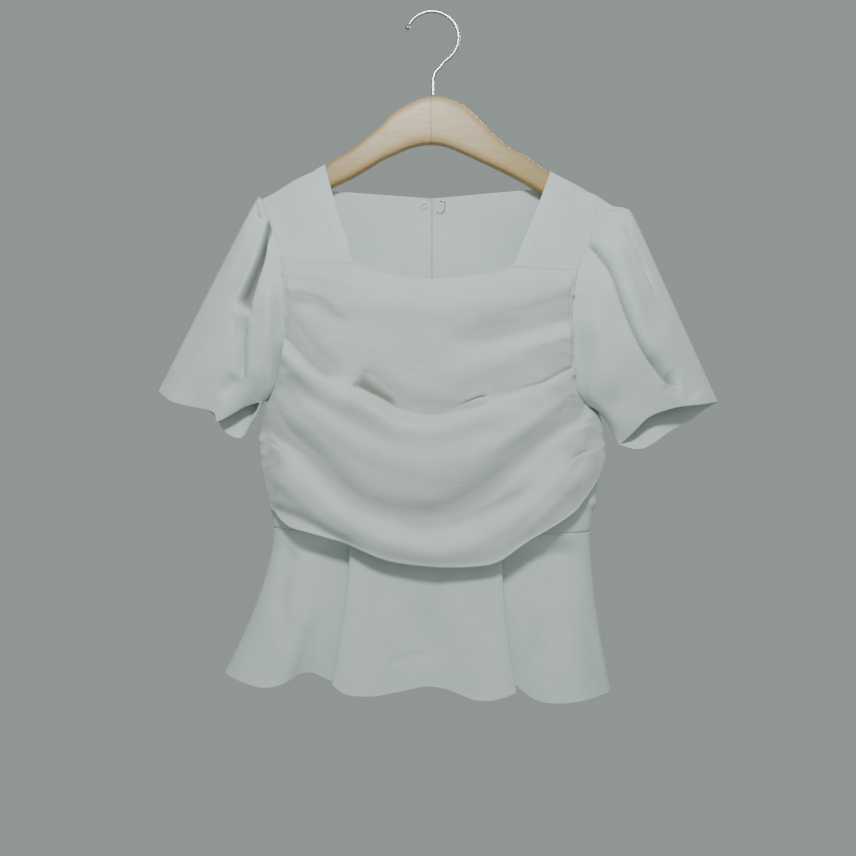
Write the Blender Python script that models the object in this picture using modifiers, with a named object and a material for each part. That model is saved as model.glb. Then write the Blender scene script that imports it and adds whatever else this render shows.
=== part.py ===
"""Layered short-sleeve blouse with a draped front and a flared peplum, on a wooden hanger.

Metres, +Z up. X runs to the right of the garment as seen from the front, the front faces -Y,
and the origin is the highest point inside the loop of the hanger's hook.
"""
import math

import bmesh
import bpy
from mathutils import Vector

CLOTH = 0.0012            # wall of the bodice, backs and sleeves
THIN_CLOTH = 0.0010       # wall of the drape, peplum and facing
GAP = 0.0003              # air between neighbouring pieces
SEAM_GAP = 0.0011         # step from an armhole edge to the sleeve sewn to it
WAIST_GAP = 0.0006        # step from the bodice to the peplum
SEAM_LIP = 0.0012         # first narrow column beside a side seam, as a share of the width
NORMAL_STEP = 0.002       # spacing at which the body's slope is measured
SIDE_POWER = 2.6          # how squarely the flat body turns at its side seams

RIM_DROP = 0.006          # height over which the cloth turns down off the hanger
CHEST_DROP = 0.115        # height below that in which the body reaches its full depth
SHOULDER_GAP = 0.12       # the shoulder seam's half gap, as a share of the rim below
RIM_FRONT = 0.0088        # cloth in front of the hanger's middle plane
RIM_BACK = 0.0105         # the same behind, with room for the neck facing

# Body sections: height, half width at the left and right, depth in front and behind
BODY_COLUMNS = ("z", "left", "right", "front", "back")
BODY_SECTIONS = (
    (-0.150, 0.260, 0.260, 0.038, 0.024),
    (-0.187, 0.250, 0.250, 0.038, 0.024),
    (-0.254, 0.205, 0.200, 0.038, 0.024),
    (-0.300, 0.182, 0.178, 0.039, 0.025),
    (-0.340, 0.170, 0.168, 0.039, 0.025),
    (-0.387, 0.1629, 0.1605, 0.037, 0.024),
    (-0.396, 0.1629, 0.1599, 0.036, 0.024),
    (-0.430, 0.1700, 0.1690, 0.035, 0.023),
    (-0.480, 0.1625, 0.1630, 0.033, 0.021),
    (-0.516, 0.1570, 0.1570, 0.032, 0.020),
)

# Outlines of the cut pieces, each point an x and a z
SHOULDER_LINE = ((-0.170, -0.187), (-0.107, -0.152), (0.0, -0.095), (0.118, -0.159), (0.166, -0.184))
WAIST_LEFT = (-0.157, -0.514)
WAIST_RIGHT = (0.157, -0.518)
CENTRE_BACK = 0.0004
BACK_NECK_Z = -0.1805
BACK_TOP = -0.150         # top of the backs before the neckline is cut out
NECK_CUT_TOP = -0.120
CUTTER_REACH = 0.060
FACING_LOW = -0.266
FACING_DROP = 0.001       # the facing's edge lies this far below the neckline
FACING_INSET = 0.0001     # and its shoulder ends this far inside it
FACING_OVER_TAPE = 0.034  # half width over which the facing rises to pass over the zip tape
FACING_RISE = 0.016       # width of that rise on each side

SIDES = {
    "left": {
        "tip": (-0.170, -0.187),
        "neck_point": (-0.107, -0.152),
        "armhole_yoke": ((-0.170, -0.187), (-0.159, -0.215), (-0.1465, -0.2515)),
        "armhole_base": ((-0.1465, -0.2520), (-0.143, -0.291), (-0.1445, -0.3345), (-0.153, -0.373),
                         (-0.1628, -0.387)),
        "armhole_back": ((-0.170, -0.187), (-0.160, -0.220), (-0.154, -0.252), (-0.151, -0.300),
                         (-0.155, -0.350), (-0.160, -0.376), (-0.1628, -0.387)),
        "side_seam": ((-0.1628, -0.387), (-0.1655, -0.400), (-0.1699, -0.427), (-0.1685, -0.450),
                      (-0.1645, -0.472), WAIST_LEFT),
        "strap_edge": ((-0.107, -0.152), (-0.098, -0.185), (-0.090, -0.2115), (-0.0815, -0.2347),
                       (-0.076, -0.2572)),
        "yoke_seam": ((-0.1465, -0.2515), (-0.110, -0.2560), (-0.076, -0.2572)),
        "back_neck_corner": (-0.1005, -0.1755),
        "facing_edge": ((-0.1045, -0.1640), (-0.111, -0.205), (-0.118, -0.261)),
    },
    "right": {
        "tip": (0.166, -0.184),
        "neck_point": (0.118, -0.159),
        "armhole_yoke": ((0.166, -0.184), (0.1555, -0.228), (0.1410, -0.2615)),
        "armhole_base": ((0.1410, -0.2628), (0.136, -0.291), (0.1365, -0.3345), (0.139, -0.373),
                         (0.147, -0.388), (0.1598, -0.396)),
        "armhole_back": ((0.166, -0.184), (0.157, -0.217), (0.150, -0.250), (0.145, -0.300),
                         (0.148, -0.350), (0.156, -0.384), (0.1598, -0.396)),
        "side_seam": ((0.1598, -0.396), (0.1673, -0.410), (0.1690, -0.430), (0.1670, -0.455),
                      (0.1630, -0.480), WAIST_RIGHT),
        "strap_edge": ((0.118, -0.159), (0.1066, -0.190), (0.098, -0.2115), (0.087, -0.2366),
                       (0.078, -0.2600)),
        "yoke_seam": ((0.1410, -0.2615), (0.110, -0.2620), (0.078, -0.2600)),
        "back_neck_corner": (0.1106, -0.1734),
        "facing_edge": ((0.1136, -0.1690), (0.117, -0.205), (0.120, -0.261)),
    },
}
BASE_TOP = ((-0.1465, -0.2520), (-0.110, -0.2565), (-0.076, -0.2580), (-0.053, -0.265), (-0.031, -0.269),
            (0.003, -0.2728), (0.056, -0.267), (0.078, -0.2616), (0.110, -0.2634), (0.1410, -0.2628))

# The drape: its loose lower edge, how far it stands off the base, and its folds
DRAPE_INSET = 0.985       # its sides stop just short of the side seams
DRAPE_OFF = 0.0023        # outer face above the base
DRAPE_HEM_OFF = 0.0085    # further off at the middle of the loose edge, over the peplum
DRAPE_HEM_START = -0.440  # the drape leaves the base below this
DRAPE_HEM_LOW = -0.550
DRAPE_TOP = -0.262        # it lies flat on the base above this
DRAPE_TOP_EASE = 0.020
DRAPE_SIDE = 0.162        # its folds fade out towards this distance from the middle
DRAPE_SIDE_EASE = 0.022
DRAPE_SEAM_END = 0.006    # the last seam point above the hem's end
DRAPE_HEM = ((-0.160, -0.4905), (-0.1396, -0.5116), (-0.124, -0.5168), (-0.105, -0.5248),
             (-0.080, -0.5355), (-0.0466, -0.5453), (-0.022, DRAPE_HEM_LOW), (0.0275, DRAPE_HEM_LOW),
             (0.053, -0.5453), (0.0843, -0.5340), (0.100, -0.5238), (0.115, -0.5117),
             (0.1315, -0.5017), (0.1457, -0.4890), (0.1575, -0.4730))

# Folds: path of x, z points, half width, height (below zero is a valley)
DRAPE_FOLDS = (
    (((-0.139, -0.2917), (-0.111, -0.2955), (-0.091, -0.309), (-0.0727, -0.3184)), 0.007, -0.0030),
    (((-0.139, -0.303), (-0.1185, -0.3414), (-0.0927, -0.372)), 0.009, -0.0060),
    (((-0.139, -0.329), (-0.111, -0.3567), (-0.0755, -0.3797)), 0.010, 0.0060),
    (((-0.0746, -0.3615), (-0.0554, -0.373), (-0.0277, -0.397), (0.003, -0.3998), (0.018, -0.4017),
      (0.0535, -0.3845), (0.091, -0.3778), (0.129, -0.3615)), 0.008, -0.0080),
    (((-0.070, -0.380), (-0.030, -0.409), (0.010, -0.412), (0.050, -0.396), (0.085, -0.388)),
     0.009, 0.0050),
    (((0.003, -0.3366), (0.043, -0.329), (0.104, -0.3137), (0.134, -0.303)), 0.012, -0.0050),
    (((-0.151, -0.417), (-0.1233, -0.437), (-0.0985, -0.4627), (-0.068, -0.4876), (-0.0325, -0.498),
      (0.003, -0.498), (0.041, -0.483), (0.0784, -0.4503), (0.106, -0.4273), (0.129, -0.409)),
     0.012, -0.0080),
    (((-0.0526, -0.5106), (-0.0124, -0.5096), (0.0277, -0.503), (0.0784, -0.483), (0.104, -0.4627)),
     0.007, -0.0050),
    (((-0.149, -0.498), (-0.1233, -0.503), (-0.0985, -0.5154), (-0.0727, -0.529), (-0.0526, -0.538)),
     0.006, -0.0040),
    (((-0.050, -0.335), (0.020, -0.365), (0.080, -0.352), (0.125, -0.335)), 0.018, 0.0060),
    (((-0.090, -0.285), (-0.020, -0.305), (0.060, -0.298), (0.120, -0.285)), 0.016, 0.0045),
    (((-0.120, -0.395), (-0.070, -0.430), (0.000, -0.450), (0.060, -0.430), (0.120, -0.385)), 0.024, 0.0080),
    (((-0.130, -0.465), (-0.080, -0.505), (0.000, -0.530), (0.070, -0.510), (0.130, -0.465)), 0.016, 0.0070),
)

# Sleeves: outer fold, underarm seam, and the cuff in front and behind, as x, y, z points
SLEEVES = {
    "left": {
        "outer": ((-0.1712, 0.0, -0.1865), (-0.177, 0.0, -0.1885), (-0.205, 0.0, -0.242),
                  (-0.240, 0.0, -0.311), (-0.274, 0.0, -0.379)),
        "underarm": ((-0.1640, -0.0010, -0.3880), (-0.1665, -0.0060, -0.393), (-0.1700, -0.0110, -0.400)),
        "cuff_front": ((-0.274, 0.0, -0.379), (-0.256, -0.015, -0.3875), (-0.231, -0.022, -0.3936),
                       (-0.212, -0.025, -0.3995), (-0.204, -0.027, -0.4100), (-0.192, -0.032, -0.4000),
                       (-0.180, -0.026, -0.3940), (-0.1700, -0.0110, -0.4000)),
        "cuff_back": ((-0.274, 0.0, -0.379), (-0.258, 0.010, -0.386), (-0.238, 0.014, -0.397),
                      (-0.2168, 0.014, -0.412), (-0.1945, 0.012, -0.4241), (-0.180, 0.004, -0.414),
                      (-0.1700, -0.0110, -0.4000)),
        "puff_front": 0.013,
        "puff_back": 0.009,
        "pleats": ((((-0.162, -0.214), (-0.166, -0.268), (-0.184, -0.305), (-0.192, -0.385)), 0.009, -0.0100),
                   (((-0.178, -0.215), (-0.186, -0.262), (-0.205, -0.310)), 0.012, 0.0040)),
    },
    "right": {
        "outer": ((0.1672, 0.0, -0.1842), (0.182, 0.0, -0.1935), (0.194, 0.0, -0.1960),
                  (0.204, 0.0, -0.2080), (0.242, 0.0, -0.292), (0.286, 0.0, -0.389)),
        "underarm": ((0.1618, -0.0025, -0.3968), (0.1710, -0.0120, -0.4065), (0.1835, -0.0180, -0.4320)),
        "cuff_front": ((0.286, 0.0, -0.389), (0.2627, -0.016, -0.3875), (0.2356, -0.026, -0.3927),
                       (0.2104, -0.030, -0.3996), (0.1950, -0.030, -0.4160), (0.1835, -0.0180, -0.4320)),
        "cuff_back": ((0.286, 0.0, -0.389), (0.2700, 0.010, -0.402), (0.2517, 0.013, -0.414),
                      (0.2150, 0.008, -0.433), (0.1970, -0.006, -0.4350), (0.1835, -0.0180, -0.4320)),
        "puff_front": 0.013,
        "puff_back": 0.009,
        "pleats": ((((0.160, -0.236), (0.169, -0.262), (0.186, -0.315), (0.210, -0.358), (0.227, -0.378)),
                    0.009, -0.0100),
                   (((0.191, -0.229), (0.211, -0.265), (0.225, -0.289)), 0.008, -0.0050),
                   (((0.176, -0.215), (0.192, -0.262), (0.212, -0.318)), 0.010, 0.0040)),
    },
}

# Peplum stations: place along the waist, layer in the pleat (0 outermost), then x, y and z at the hem
PEPLUM_FRONT = (
    (-0.1570, 2.0, -0.2060, -0.0004, -0.6570),
    (-0.1560, 2.0, -0.2045, -0.0090, -0.6580),
    (-0.1510, 2.0, -0.1990, -0.0160, -0.6590),
    (-0.1420, 2.0, -0.1900, -0.0240, -0.6605),
    (-0.1310, 2.0, -0.1770, -0.0320, -0.6630),
    (-0.1200, 2.0, -0.1620, -0.0360, -0.6650),
    (-0.1100, 2.0, -0.1440, -0.0340, -0.6620),
    (-0.1000, 2.0, -0.1300, -0.0250, -0.6550),
    (-0.0920, 2.0, -0.1180, -0.0210, -0.6540),
    (-0.0850, 2.0, -0.1090, -0.0230, -0.6570),
    (-0.0770, 2.0, -0.0960, -0.0275, -0.6610),
    (-0.0700, 2.0, -0.0860, -0.0300, -0.6610),
    (-0.0640, 2.0, -0.0780, -0.0318, -0.6600),
    (-0.0622, 1.5, -0.0762, -0.0333, -0.6600),
    (-0.0640, 1.0, -0.0780, -0.0350, -0.6600),
    (-0.0710, 1.0, -0.0860, -0.0356, -0.6600),
    (-0.0770, 1.0, -0.0935, -0.0362, -0.6600),
    (-0.0788, 0.5, -0.0955, -0.0388, -0.6605),
    (-0.0770, 0.0, -0.0940, -0.0415, -0.6615),
    (-0.0690, 0.0, -0.0840, -0.0450, -0.6680),
    (-0.0570, 0.0, -0.0690, -0.0470, -0.6700),
    (-0.0430, 0.0, -0.0520, -0.0460, -0.6700),
    (-0.0260, 0.0, -0.0310, -0.0420, -0.6670),
    (-0.0080, 0.0, -0.0080, -0.0385, -0.6630),
    (0.0060, 0.0, 0.0080, -0.0390, -0.6640),
    (0.0200, 0.0, 0.0240, -0.0430, -0.6680),
    (0.0340, 0.0, 0.0390, -0.0470, -0.6730),
    (0.0470, 0.0, 0.0540, -0.0480, -0.6740),
    (0.0570, 0.0, 0.0670, -0.0460, -0.6720),
    (0.0640, 0.0, 0.0780, -0.0420, -0.6690),
    (0.0658, 0.5, 0.0800, -0.0390, -0.6680),
    (0.0640, 1.0, 0.0780, -0.0362, -0.6670),
    (0.0570, 1.0, 0.0710, -0.0356, -0.6650),
    (0.0520, 1.0, 0.0650, -0.0350, -0.6640),
    (0.0502, 1.5, 0.0630, -0.0332, -0.6630),
    (0.0520, 2.0, 0.0650, -0.0315, -0.6620),
    (0.0570, 2.0, 0.0710, -0.0300, -0.6610),
    (0.0640, 2.0, 0.0780, -0.0288, -0.6620),
    (0.0740, 2.0, 0.0880, -0.0300, -0.6700),
    (0.0840, 2.0, 0.1000, -0.0340, -0.6770),
    (0.0950, 2.0, 0.1140, -0.0380, -0.6790),
    (0.1080, 2.0, 0.1290, -0.0380, -0.6790),
    (0.1220, 2.0, 0.1450, -0.0340, -0.6780),
    (0.1350, 2.0, 0.1580, -0.0250, -0.6775),
    (0.1460, 2.0, 0.1690, -0.0150, -0.6770),
    (0.1540, 2.0, 0.1755, -0.0080, -0.6770),
    (0.1570, 2.0, 0.1780, -0.0004, -0.6770),
)
PEPLUM_BACK = (
    (-0.1570, 0.0, -0.2060, 0.0004, -0.6570),
    (-0.1560, 0.0, -0.2045, 0.0090, -0.6580),
    (-0.1500, 0.0, -0.1980, 0.0170, -0.6590),
    (-0.1380, 0.0, -0.1830, 0.0260, -0.6610),
    (-0.1180, 0.0, -0.1560, 0.0360, -0.6640),
    (-0.0950, 0.0, -0.1220, 0.0340, -0.6620),
    (-0.0700, 0.0, -0.0880, 0.0260, -0.6590),
    (-0.0450, 0.0, -0.0560, 0.0330, -0.6620),
    (-0.0220, 0.0, -0.0280, 0.0400, -0.6640),
    (0.0000, 0.0, 0.0000, 0.0360, -0.6640),
    (0.0220, 0.0, 0.0260, 0.0280, -0.6640),
    (0.0450, 0.0, 0.0520, 0.0330, -0.6670),
    (0.0700, 0.0, 0.0820, 0.0400, -0.6710),
    (0.0950, 0.0, 0.1100, 0.0360, -0.6720),
    (0.1180, 0.0, 0.1380, 0.0280, -0.6730),
    (0.1380, 0.0, 0.1590, 0.0240, -0.6750),
    (0.1500, 0.0, 0.1700, 0.0160, -0.6760),
    (0.1560, 0.0, 0.1765, 0.0080, -0.6770),
    (0.1570, 0.0, 0.1780, 0.0004, -0.6770),
)
PEPLUM_LAYER = 0.075      # each pleat layer lies this share of the depth further in
PEPLUM_FLARE = 1.6        # above 1 the flare opens late, near the hem
PEPLUM_SWELL = 1.2
PEPLUM_ROWS = (0.0, 0.1, 0.22, 0.36, 0.5, 0.64, 0.78, 0.9, 1.0)

# Hanger: x, and the top and lower edge of the wooden bar there
BAR_STATIONS = 26
BAR_COLUMNS = ("x", "top", "low")
BAR_SECTIONS = (
    (-0.1655, -0.1895, -0.1960),
    (-0.1600, -0.1855, -0.2005),
    (-0.1300, -0.1680, -0.1895),
    (-0.1070, -0.1562, -0.1780),
    (-0.0980, -0.1480, -0.1735),
    (-0.0800, -0.1380, -0.1650),
    (-0.0630, -0.1240, -0.1550),
    (-0.0490, -0.1120, -0.1465),
    (-0.0390, -0.1015, -0.1420),
    (-0.0250, -0.0930, -0.1360),
    (-0.0120, -0.0870, -0.1324),
    (0.0010, -0.0845, -0.1312),
    (0.0130, -0.0860, -0.1332),
    (0.0250, -0.0905, -0.1375),
    (0.0370, -0.0980, -0.1430),
    (0.0490, -0.1100, -0.1485),
    (0.0630, -0.1240, -0.1550),
    (0.0800, -0.1380, -0.1635),
    (0.0970, -0.1465, -0.1730),
    (0.1180, -0.1634, -0.1855),
    (0.1380, -0.1727, -0.1950),
    (0.1560, -0.1824, -0.2015),
    (0.1620, -0.1865, -0.1975),
)
BAR_THICK = 0.014
BAR_ROUND = 0.004
HOOK_RADIUS = 0.0265      # centreline of the wire loop
HOOK_WIRE = 0.0032
HOOK_TIP_ANGLE = 163
HOOK_END_ANGLE = -62
HOOK_STEM_X = 0.001
HOOK_BEND = ((0.0085, -0.0535), (0.0040, -0.0585), (0.0016, -0.0640), (HOOK_STEM_X, -0.0700))
HOOK_STEPS = 30

# Zip and neck fastening
ZIP_TAPE_WIDTH = 0.022
ZIP_TAPE_THICK = 0.0008
ZIP_TOP = -0.1890
ZIP_END = -0.4600
SLIDER_SIZE = (0.0060, 0.0034, 0.0090)
SLIDER_Z = -0.1960
HINGE_OFF = 0.0012        # the pull's hinge line outside the slider
PULL_LENGTH = 0.020
PULL_WIDTH = 0.0058
PULL_THICK = 0.0012
PULL_TOP = 0.0005         # the tab reaches this far above its hinge line
FASTENER_WIRE = 0.0010
NECK_HOOK = ((0.0085, -0.1836), (0.0120, -0.1832), (0.0138, -0.1850), (0.0136, -0.1900), (0.0115, -0.1945),
             (0.0080, -0.1958), (0.0052, -0.1940))
NECK_EYE = ((-0.0125, -0.1900), (-0.0105, -0.1872), (-0.0070, -0.1860), (-0.0050, -0.1880),
            (-0.0070, -0.1900), (-0.0100, -0.1912))


def clear_scene():
    for old in list(bpy.data.objects):
        bpy.data.objects.remove(old, do_unlink=True)


def make_collection(name):
    group = bpy.data.collections.new(name)
    bpy.context.scene.collection.children.link(group)
    return group


def make_material(name, colour, roughness, metallic=0.0):
    material = bpy.data.materials.new(name)
    material.use_nodes = True
    shader = material.node_tree.nodes["Principled BSDF"]
    shader.inputs["Base Color"].default_value = (*colour, 1.0)
    shader.inputs["Roughness"].default_value = roughness
    shader.inputs["Metallic"].default_value = metallic
    return material


def eased(t):
    t = min(max(t, 0.0), 1.0)
    return t * t * (3.0 - 2.0 * t)


def between(a, b, share):
    return tuple(p + (q - p) * share for p, q in zip(a, b))


def from_table(rows, at, column):
    """Value of a column where the first column passes a given number."""
    ordered = sorted(rows)
    if at <= ordered[0][0]:
        return ordered[0][column]
    for low, high in zip(ordered, ordered[1:]):
        if at <= high[0]:
            share = (at - low[0]) / (high[0] - low[0])
            return low[column] + (high[column] - low[column]) * share
    return ordered[-1][column]


def shoulder_height(x):
    points = SHOULDER_LINE
    first, second = points[0], points[1]
    for left, right in zip(points, points[1:]):
        if x >= left[0]:
            first, second = left, right
    slope = (second[1] - first[1]) / (second[0] - first[0])
    return first[1] + (x - first[0]) * slope


def half_width(side, z):
    """Half width of the body: its side seam below the underarm, and the sections above."""
    seam = SEAM_LINES[side]
    if z >= seam[0].y:
        return from_table(BODY_SECTIONS, z, BODY_COLUMNS.index(side))
    for upper, lower in zip(seam, seam[1:]):
        if z >= lower.y:
            return abs(upper.lerp(lower, (upper.y - z) / (upper.y - lower.y)).x)
    return abs(seam[-1].x)


def body_depth(x, z, face):
    """Distance of the body's outer face from the middle plane; face is front or back."""
    side = "left" if x < 0 else "right"
    half = half_width(side, z)
    reach = min(abs(x) / half, 1.0)
    full = from_table(BODY_SECTIONS, z, BODY_COLUMNS.index(face))
    full *= (1.0 - reach ** SIDE_POWER) ** (1.0 / SIDE_POWER)
    drop = max(shoulder_height(x) - z, 0.0)
    turn = 1.0 - min(drop / RIM_DROP, 1.0)
    rim = (RIM_FRONT if face == "front" else RIM_BACK) * max(math.sqrt(1.0 - turn * turn), SHOULDER_GAP)
    share = eased((drop - RIM_DROP) / CHEST_DROP)
    return max(rim * (1.0 - share) + full * share, GAP)


def on_body(x, z, face, out=0.0):
    """Point on the body's outer face, moved out along the surface's own direction."""
    sign = -1.0 if face == "front" else 1.0
    point = Vector((x, sign * body_depth(x, z, face), z))
    if out == 0.0:
        return point
    step = NORMAL_STEP
    slope_x = (body_depth(x + step, z, face) - body_depth(x - step, z, face)) / (2 * step)
    slope_z = (body_depth(x, z + step, face) - body_depth(x, z - step, face)) / (2 * step)
    normal = Vector((-slope_x, sign, -slope_z)).normalized()
    return point + normal * out


def smoothed(points, parts=6):
    """Catmull-Rom curve through the points."""
    points = [Vector(p) for p in points]
    if len(points) < 3:
        return points
    ends = [points[0] * 2 - points[1]] + points + [points[-1] * 2 - points[-2]]
    curve = []
    for a, b, c, d in zip(ends, ends[1:], ends[2:], ends[3:]):
        for k in range(parts):
            t = k / parts
            curve.append(0.5 * ((2 * b) + (c - a) * t + (2 * a - 5 * b + 4 * c - d) * t * t
                                + (3 * b - a - 3 * c + d) * t ** 3))
    curve.append(points[-1])
    return curve


SEAM_LINES = {side: smoothed(cut["side_seam"]) for side, cut in SIDES.items()}


def follow(points, shares, curved=True):
    """Points at the given shares of a line's length."""
    line = smoothed(points) if curved else [Vector(p) for p in points]
    steps = [(b - a).length for a, b in zip(line, line[1:])]
    total = sum(steps)
    result = []
    for share in shares:
        rest = share * total
        index = 0
        while index < len(steps) - 1 and rest > steps[index]:
            rest -= steps[index]
            index += 1
        part = min(rest / max(steps[index], 1e-9), 1.0)
        result.append(line[index].lerp(line[index + 1], part))
    return result


def even(count):
    return [k / count for k in range(count + 1)]


def graded(count, power_start=1.0, power_end=1.0, lip_start=0.0, lip_end=0.0):
    """Shares that crowd towards the ends with a power above 1, with a thin first or last strip."""
    shares = []
    for share in even(count):
        low = share ** power_start
        high = 1.0 - (1.0 - share) ** power_end
        shares.append(low * (1.0 - share) + high * share)
    if lip_start:
        shares.insert(1, lip_start)
    if lip_end:
        shares.insert(-1, 1.0 - lip_end)
    return shares


def patch(top, bottom, left, right, columns_at, rows_at):
    """Grid of points between four edges: rows run from top to bottom, columns from left to right."""
    rows = []
    for v, a, b in zip(rows_at, left, right):
        row = []
        for u, c, d in zip(columns_at, top, bottom):
            across = a.lerp(b, u)
            down = c.lerp(d, v)
            corners = top[0].lerp(top[-1], u).lerp(bottom[0].lerp(bottom[-1], u), v)
            row.append(across + down - corners)
        rows.append(row)
    return rows


def fold_height(x, z, folds):
    """Sum of soft troughs and ridges, each along its own path and fading at its ends."""
    total = 0.0
    for path, width, height in folds:
        total += height * fold_share(x, z, path, width)
    return total


def fold_share(x, z, path, width):
    spot = Vector((x, z))
    points = [Vector(p) for p in path]
    lengths = [(b - a).length for a, b in zip(points, points[1:])]
    total = sum(lengths)
    nearest = None
    place = 0.0
    run = 0.0
    for a, b, length in zip(points, points[1:], lengths):
        share = min(max((spot - a).dot(b - a) / (length * length), 0.0), 1.0)
        distance = (spot - a.lerp(b, share)).length
        if nearest is None or distance < nearest:
            nearest = distance
            place = (run + share * length) / total
        run += length
    fade = eased(min(place, 1.0 - place) * 5.0 + 0.25)
    return fade * math.exp(-(nearest / width) ** 2)


def cloth_object(name, rows, material, group, wall, flip=False, ring=False, centred=False):
    """Thin wall from rows of points. Rows down and columns to the right face -Y."""
    mesh = bpy.data.meshes.new(name)
    shape = bmesh.new()
    grid = [[shape.verts.new(p) for p in row] for row in rows]
    columns = len(rows[0])
    for upper, lower in zip(grid, grid[1:]):
        for i in range(columns if ring else columns - 1):
            k = (i + 1) % columns
            corners = [upper[i], lower[i], lower[k], upper[k]]
            if flip:
                corners.reverse()
            shape.faces.new(corners)
    shape.to_mesh(mesh)
    shape.free()
    mesh.shade_smooth()
    thing = bpy.data.objects.new(name, mesh)
    thing.data.materials.append(material)
    group.objects.link(thing)
    thicken = thing.modifiers.new("Wall", "SOLIDIFY")
    thicken.thickness = wall
    thicken.offset = 0.0 if centred else -1.0
    thicken.use_quality_normals = True
    return thing


def make_yoke(side, material, group):
    cut = SIDES[side]
    rows_at = [0.0, 0.015, 0.038, 0.070] + [0.12 + 0.88 * share for share in even(6)]
    columns_at = even(6)
    top = follow((cut["tip"], cut["neck_point"]), columns_at, curved=False)
    bottom = follow(cut["yoke_seam"], columns_at)
    outer = follow(cut["armhole_yoke"], rows_at)
    inner = follow(cut["strap_edge"], rows_at)
    rows = [[on_body(p.x, p.y, "front") for p in row] for row in
            patch(top, bottom, outer, inner, columns_at, rows_at)]
    return cloth_object("front_yoke_" + side, rows, material, group, CLOTH, flip=side == "right")


def front_edges(columns_at, rows_at, hem=None, inset=1.0):
    """The four edges of the base, or of the drape over it when a hem is given."""
    sides = []
    for side in ("left", "right"):
        edge = list(SIDES[side]["armhole_base"]) + list(SIDES[side]["side_seam"][1:])
        if hem:
            end = hem[0] if side == "left" else hem[-1]
            edge = [p for p in edge if p[1] > end[1] + DRAPE_SEAM_END]
            edge.append(end)
        edge = [(x * inset, z) for x, z in edge]
        sides.append(follow(edge, rows_at))
    low = hem if hem else (WAIST_LEFT, WAIST_RIGHT)
    low = [(x * inset, z) for x, z in low]
    high = [(x * inset, z) for x, z in BASE_TOP]
    top = follow(high, columns_at)
    bottom = follow(low, columns_at)
    return top, bottom, sides[0], sides[1]


def make_front_base(material, group):
    columns_at = graded(18, 1.7, 1.7, SEAM_LIP, SEAM_LIP)
    rows_at = even(17)
    grid = patch(*front_edges(columns_at, rows_at), columns_at, rows_at)
    rows = [[on_body(p.x, p.y, "front") for p in row] for row in grid]
    return cloth_object("front_base", rows, material, group, CLOTH)


def drape_off(x, z):
    """How far the drape's outer face stands off the base."""
    hang = eased((DRAPE_HEM_START - z) / (DRAPE_HEM_START - DRAPE_HEM_LOW))
    middle = max(1.0 - (abs(x) / DRAPE_SIDE) ** 2, 0.0)
    edge = eased((DRAPE_SIDE - abs(x)) / DRAPE_SIDE_EASE)
    lift = DRAPE_HEM_OFF * hang * middle + edge * fold_height(x, z, DRAPE_FOLDS)
    top_rest = eased((DRAPE_TOP - z) / DRAPE_TOP_EASE)
    return DRAPE_OFF + max(lift, 0.0) * top_rest


def make_front_drape(material, group):
    columns_at = graded(31, 1.3, 1.3)
    rows_at = even(28)
    grid = patch(*front_edges(columns_at, rows_at, DRAPE_HEM, DRAPE_INSET), columns_at, rows_at)
    rows = [[on_body(p.x, p.y, "front", drape_off(p.x, p.y)) for p in row] for row in grid]
    return cloth_object("front_drape", rows, material, group, THIN_CLOTH)


def make_neck_cutter(name, outline, group):
    """Prism that cuts the neckline out of both backs, or out of both facings."""
    mesh = bpy.data.meshes.new(name)
    shape = bmesh.new()
    front = [shape.verts.new((x, -CUTTER_REACH, z)) for x, z in outline]
    face = shape.faces.new(front)
    moved = bmesh.ops.extrude_face_region(shape, geom=[face])["geom"]
    far = [item for item in moved if isinstance(item, bmesh.types.BMVert)]
    bmesh.ops.translate(shape, verts=far, vec=(0.0, 2 * CUTTER_REACH, 0.0))
    bmesh.ops.recalc_face_normals(shape, faces=shape.faces)
    shape.to_mesh(mesh)
    shape.free()
    cutter = bpy.data.objects.new(name, mesh)
    cutter.hide_render = True
    cutter.display_type = "WIRE"
    group.objects.link(cutter)
    return cutter


def neck_outline(left_side, right_side, drop):
    """Neckline from shoulder to shoulder across the back, closed far above it."""
    left = SIDES["left"]["back_neck_corner"]
    right = SIDES["right"]["back_neck_corner"]
    line = [left_side, (left[0] + drop / 2, left[1] - drop), (0.0, BACK_NECK_Z - drop)]
    line += [(right[0] - drop / 2, right[1] - drop), right_side]
    return [(left_side[0], NECK_CUT_TOP)] + line + [(right_side[0], NECK_CUT_TOP)]


def cut_with(thing, cutter):
    cut = thing.modifiers.new("Neckline", "BOOLEAN")
    cut.operation = "DIFFERENCE"
    cut.object = cutter


def make_back(side, cutter, material, group):
    cut = SIDES[side]
    centre = -CENTRE_BACK if side == "left" else CENTRE_BACK
    waist = WAIST_LEFT if side == "left" else WAIST_RIGHT
    top_middle = (centre, BACK_TOP)
    low_middle = (centre, (WAIST_LEFT[1] + WAIST_RIGHT[1]) / 2)
    rows_at = [0.0, 0.0045, 0.011, 0.020] + [0.04 + 0.96 * share for share in even(14)]
    top = follow((cut["tip"], cut["neck_point"]), (0.0, 0.004, 0.06, 0.2, 0.45, 0.72, 1.0), curved=False)
    top += follow((cut["neck_point"], top_middle), even(6), curved=False)[1:]
    columns_at = graded(len(top) - 2, 1.7, 1.0, 2 * SEAM_LIP)
    bottom = follow((waist, low_middle), columns_at, curved=False)
    outer = follow(list(cut["armhole_back"]) + list(cut["side_seam"][1:]), rows_at)
    inner = follow((top_middle, low_middle), rows_at, curved=False)
    grid = patch(top, bottom, outer, inner, columns_at, rows_at)
    rows = [[on_body(p.x, p.y, "back") for p in row] for row in grid]
    back = cloth_object("back_" + side, rows, material, group, CLOTH, flip=side == "left")
    cut_with(back, cutter)


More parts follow.
